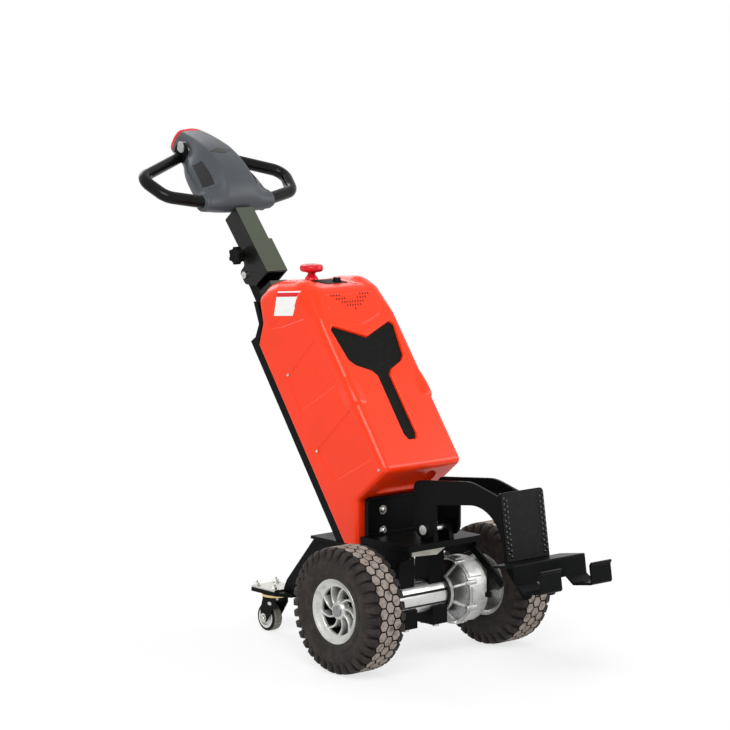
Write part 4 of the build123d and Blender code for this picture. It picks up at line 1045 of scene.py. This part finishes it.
def rim_spoke(bm, side, start):
    """One curved spoke from the hub's cone to the rim."""
    rows = []
    for step in range(8):
        share = step / 7
        reach = 22 + 43 * share
        turn = start + SPOKE_SWEEP * share ** 1.3
        half = 3.0 + 1.3 * share ** 2
        high = 37.5 + 1.5 * share - 2.5 * math.sin(math.pi * share)
        row = []
        for across, level in ((-half - 1.6, 9.0), (-half, high - 2), (-half * 0.55, high), (half * 0.55, high),
                              (half, high - 2), (half + 1.6, 9.0)):
            angle = turn + across / reach
            row.append(bm.verts.new((side * level, reach * math.cos(angle), reach * math.sin(angle))))
        rows.append(row)
    skin(bm, rows, closed=False)


# Fasteners and small trim.

# Bolts' width across flats.
BOLT_SIZE = 13
# Castors: trail and radius of the wheel, top of the pad, half spacing of its bolts, foot of the gilt race and outer
# face of the fork's legs.
CASTOR_TRAIL, CASTOR_RADIUS = 24.0, 38.0
PAD_TOP, PAD_BOLTS = 128, (34, 38)
RACE_LOW, LEG_OUT = 101, 23.5
RACE_ROWS = ((0, 33.4), (0.4, 36.4), (2, 37.2), (6.2, 37.2), (7.8, 36.2), (8, 33.4))
WHEEL_RING = ((12, 23.6), (15.0, 23.6), (15.8, 26.5), (15.6, 29.2), (12, 29.2))
WHEEL_FLANK = ((12, 29.2), (15.9, 29.2), (16.4, 31.0), (14.9, 34.4), (12.9, 37.3), (11, 36.4))
# Bolts on the bracket box under the cover: half spacing, face and heights.
BRACKET_BOLTS, BRACKET_FACE, BRACKET_ROWS = 64, 91, (388, 332)
# Drive casing: ribs and lugs, the lugs' distance from the axle and the tube's first groove from upright.
CASING_LUGS, LUG_REACH = 8, 86.5
GROOVE_TURN = math.radians(22.5)
# Studs of the push pad: columns off the middle, count in a column and pitch.
STUD_COLUMNS, STUD_COUNT, STUD_PITCH = (58, 68), 11, 14


class TUG_OT_fasteners(bpy.types.Operator):
    """Make the bolts, the castors' rings, the trim of the drive casing with painted shade in its grooves and by its
    flange, and the studs of the push pad
    """

    bl_idname = "tug.fasteners"
    bl_label = "Fasteners and trim"

    def execute(self, context):
        low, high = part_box("castor_tyre_right")
        pivot_x = (low.x + high.x) * 500
        pivot_y = (low.y + high.y) * 500 - AXLE_Y * 1000 - CASTOR_TRAIL
        bm = bmesh.new()
        for side in (-1, 1):
            for a in (-1, 1):
                for b in (-1, 1):
                    spot = (side * pivot_x + a * PAD_BOLTS[0], pivot_y + b * PAD_BOLTS[1], PAD_TOP)
                    hex_bolt(bm, Matrix.Translation(spot), BOLT_SIZE, 7.5, 1.6, shank=3.2)
            for height in BRACKET_ROWS:
                hex_bolt(bm, towards(side * BRACKET_BOLTS, BRACKET_FACE, height, (0, -1, 0)), BOLT_SIZE, 6.5, 1.6)
        new_piece("frame_bolts", bm, "chassis", ("zinc",))
        for side, word in LEFT_RIGHT:
            bm = bmesh.new()
            lathe(bm, RACE_ROWS, turned(0, 0, RACE_LOW), 56, closed=True)
            for way in (-1, 1):
                axle_end = towards(way * LEG_OUT, CASTOR_TRAIL, CASTOR_RADIUS, (way, 0, 0))
                hex_bolt(bm, axle_end, BOLT_SIZE, 5, 1, 1)
                prism(bm, disc(5, 24, 8), -0.4, 0.7, towards(way * LEG_OUT, -4, 82, (way, 0, 0)), 1)
            place = AXLE @ Matrix.Translation((side * pivot_x, pivot_y, 0))
            new_piece(f"castor_race_{word}", bm, f"castor_swivel_{word}", ("gilt", "zinc"), place)
            bm = bmesh.new()
            for way in (-1, 1):
                for material, rows in enumerate((WHEEL_RING, WHEEL_FLANK)):
                    lathe(bm, [(way * x, r) for x, r in rows], segments=56, material=material, closed=True)
            place = AXLE @ Matrix.Translation((side * pivot_x, pivot_y + CASTOR_TRAIL, CASTOR_RADIUS))
            new_piece(f"castor_rings_{word}", bm, f"castor_wheel_{word}", ("core", "rubber"), place)
        bm = bmesh.new()
        lathe(bm, ((62.3, 47.4), (87.4, 82.6), (87.4, 80.6), (62.3, 45.4)), segments=64, closed=True)
        for a in spin_angles(CASING_LUGS):
            spin = Matrix.Rotation(a + math.pi / CASING_LUGS, 4, "X")
            lathe(bm, ((83, 5.2), (84, 6.2), (112, 6.2), (114, 4.4)), spin @ Matrix.Translation((0, 0, LUG_REACH)),
                  16, 1)
            hex_bolt(bm, spin @ towards(83.4, 0, LUG_REACH, (-1, 0, 0)), 9, 4.5, 0, 2)
            # Dark strips on the floors of the tube's grooves: painted shade in the grooves.
            spin = Matrix.Rotation(a + GROOVE_TURN, 4, "X")
            prism(bm, ((-196, -3.2), (50, -3.2), (50, 3.2), (-196, 3.2)), 38.6, 39.4, spin, 3)
        # A dark ring before the flange: painted shade of the hollow there.
        lathe(bm, ((45, 43), (45, 49.6), (52.2, 49.6), (52.2, 43)), segments=48, material=3, closed=True)
        new_piece("drive_casing_trim_and_painted_shade", bm, "chassis", ("turned", "cast", "zinc", "motor"),
                  AXLE @ Matrix.Translation((0, 0, AXLE_Z)))
        bm = bmesh.new()
        for side in (-1, 1):
            for column, away in enumerate(STUD_COLUMNS):
                for step in range(STUD_COUNT):
                    up = STUD_PITCH * (1 + step + column / 2)
                    lathe(bm, ((2.4, 4.4), (4.4, 4.0), (5.6, 2.4), (5.9, 0.1)), turned(side * away, up, 0), 12)
        new_piece("push_pad_studs", bm, "hitch", ("gloss",), HITCH)
        return {"FINISHED"}


# Finishes of the solids.


class TUG_OT_finishes(bpy.types.Operator):
    """Give each solid of the tug its finish"""

    bl_idname = "tug.finishes"
    bl_label = "Finishes"

    def execute(self, context):
        FINISHES.update(make_finishes())
        for key, nodes in NODE_FINISHES.items():
            for node in nodes:
                mesh = frame["nodes"][node].data
                mesh.materials.clear()
                mesh.materials.append(FINISHES[key])
        return {"FINISHED"}


# Stage.

# Soft lamps: name, power in watts, size, place and aim in metres.
LAMPS = (
    ("key_lamp", 130, (2.4, 2.0), (-2.6, -2.2, 3.4), (0, 0, 0.7)),
    ("side_lamp", 60, (2.0, 2.0), (3.0, -2.6, 2.2), (0, 0, 0.6)),
    ("rear_lamp", 70, (2.6, 2.0), (0.6, 3.2, 2.8), (0, 0, 0.8)),
)
# Half width of the floor in metres.
FLOOR_REACH = 40.0
# The camera fitted to the photo: focal length as a share of the sensor's width, turn and rise in degrees, then
# distance and aim (y past the axle, z) in metres.
SENSOR = 36
FOCAL_SHARE = 2590.15 / 730
CAMERA_ANGLES = (-41.172, 7.114)
CAMERA_AWAY = 6.935
CAMERA_AIM = (0.2352, 0.7538)


def soft_lamp(name, power, size, place, aim):
    """A soft area lamp at a place in metres, aimed at a point."""
    lamp = bpy.data.lights.new(name, "AREA")
    lamp.energy = power
    lamp.shape = "RECTANGLE"
    lamp.size, lamp.size_y = size
    holder = bpy.data.objects.new(name, lamp)
    holder.location = place
    holder.rotation_euler = (Vector(aim) - Vector(place)).to_track_quat("-Z", "Y").to_euler()
    bpy.context.scene.collection.objects.link(holder)


def backdrop(tree, shaded, share=None):
    """White to the camera and to mirrors, a shaded surface to all other light; share is a socket below full white."""
    path = add(tree, "ShaderNodeLightPath").outputs
    rows = [("MAXIMUM", path["Is Glossy Ray"]), ("MAXIMUM", path["Is Transmission Ray"])]
    seen = path["Is Camera Ray"]
    for operation, other in rows + ([("MULTIPLY", share)] if share else []):
        seen = add(tree, "ShaderNodeMath", {"operation": operation}, None, {0: seen, 1: other}).outputs[0]
    white = add(tree, "ShaderNodeEmission" if share else "ShaderNodeBackground", None,
                {"Color": (1, 1, 1, 1), "Strength": 1.0})
    return add(tree, "ShaderNodeMixShader", None, None, {0: seen, 1: shaded, 2: white.outputs[0]})


class TUG_OT_stage(bpy.types.Operator):
    """Set the pale floor, the soft light and the camera"""

    bl_idname = "tug.stage"
    bl_label = "Stage"

    def execute(self, context):
        scene = context.scene
        scene.view_settings.view_transform = "Standard"
        world = bpy.data.worlds.new("pale_studio")
        scene.world = world
        world.use_nodes = True
        tree = world.node_tree
        tree.nodes.clear()
        sky = add(tree, "ShaderNodeBackground", None, {"Color": (1, 1, 1, 1), "Strength": 0.55})
        mixed = backdrop(tree, sky.outputs[0])
        add(tree, "ShaderNodeOutputWorld", None, None, {"Surface": mixed.outputs[0]})
        mesh = bpy.data.meshes.new("floor")
        corners = ((-1, -1), (1, -1), (1, 1), (-1, 1))
        mesh.from_pydata([(a * FLOOR_REACH, b * FLOOR_REACH, 0) for a, b in corners], [], [(0, 1, 2, 3)])
        floor = bpy.data.objects.new("floor", mesh)
        scene.collection.objects.link(floor)
        material = bpy.data.materials.new("matt_paper_white")
        material.use_nodes = True
        tree = material.node_tree
        tree.nodes.clear()
        grain = add(tree, "ShaderNodeTexNoise", None, {"Scale": 3.0})
        tint = add(tree, "ShaderNodeMix", {"data_type": "RGBA"},
                   {6: (0.86, 0.86, 0.86, 1), 7: (0.9, 0.9, 0.9, 1)}, {0: grain.outputs["Fac"]})
        paper = add(tree, "ShaderNodeBsdfDiffuse", None, None, {"Color": tint.outputs[2]})
        place = add(tree, "ShaderNodeTexCoord").outputs["Object"]
        away = add(tree, "ShaderNodeVectorMath", {"operation": "LENGTH"}, None, {0: place})
        share = add(tree, "ShaderNodeMapRange", {"interpolation_type": "SMOOTHSTEP"},
                    {"From Min": 0.5, "From Max": 2.0, "To Min": 0.72, "To Max": 1.0},
                    {"Value": away.outputs["Value"]})
        mixed = backdrop(tree, paper.outputs[0], share.outputs[0])
        add(tree, "ShaderNodeOutputMaterial", None, None, {"Surface": mixed.outputs[0]})
        mesh.materials.append(material)
        for lamp in LAMPS:
            soft_lamp(*lamp)
        camera = bpy.data.cameras.new("photo_camera")
        camera.lens = FOCAL_SHARE * SENSOR
        camera.sensor_width = SENSOR
        camera.sensor_fit = "HORIZONTAL"
        camera.clip_end = 200
        holder = bpy.data.objects.new("photo_camera", camera)
        turn, rise = (math.radians(angle) for angle in CAMERA_ANGLES)
        target = Vector((0, AXLE_Y + CAMERA_AIM[0], CAMERA_AIM[1]))
        view = Vector((math.sin(turn) * math.cos(rise), -math.cos(turn) * math.cos(rise), math.sin(rise)))
        holder.location = target + view * CAMERA_AWAY
        holder.rotation_euler = (-view).to_track_quat("-Z", "Y").to_euler()
        scene.collection.objects.link(holder)
        scene.camera = holder
        return {"FINISHED"}


class TUG_PT_panel(bpy.types.Panel):
    """Lists the tug's makers in the sidebar"""

    bl_label = "Trolley pusher tug"
    bl_idname = "TUG_PT_panel"
    bl_space_type = "VIEW_3D"
    bl_region_type = "UI"
    bl_category = "Tug"

    def draw(self, context):
        for name in TugColours.__annotations__:
            self.layout.prop(context.scene.tug_colours, name)
        for name in TugSizes.__annotations__:
            self.layout.prop(context.scene.tug_sizes, name)
        for maker in MAKERS:
            self.layout.operator(maker.bl_idname)


MAKERS = (
    TUG_OT_finishes, TUG_OT_tyres, TUG_OT_rims, TUG_OT_cover, TUG_OT_controls, TUG_OT_head, TUG_OT_fasteners,
    TUG_OT_stage,
)
CLASSES = (TugColours, TugSizes, *MAKERS, TUG_PT_panel)


def register():
    """Register the classes and the scene's own properties."""
    for cls in CLASSES:
        bpy.utils.register_class(cls)
    bpy.types.Scene.tug_colours = bpy.props.PointerProperty(type=TugColours)
    bpy.types.Scene.tug_sizes = bpy.props.PointerProperty(type=TugSizes)


def unregister():
    """Remove the properties and the classes."""
    del bpy.types.Scene.tug_sizes
    del bpy.types.Scene.tug_colours
    for cls in reversed(CLASSES):
        bpy.utils.unregister_class(cls)


def main():
    """Make every piece in order."""
    register()
    for maker in MAKERS:
        group, name = maker.bl_idname.split(".")
        getattr(getattr(bpy.ops, group), name)()


if __name__ == "__main__":
    main()
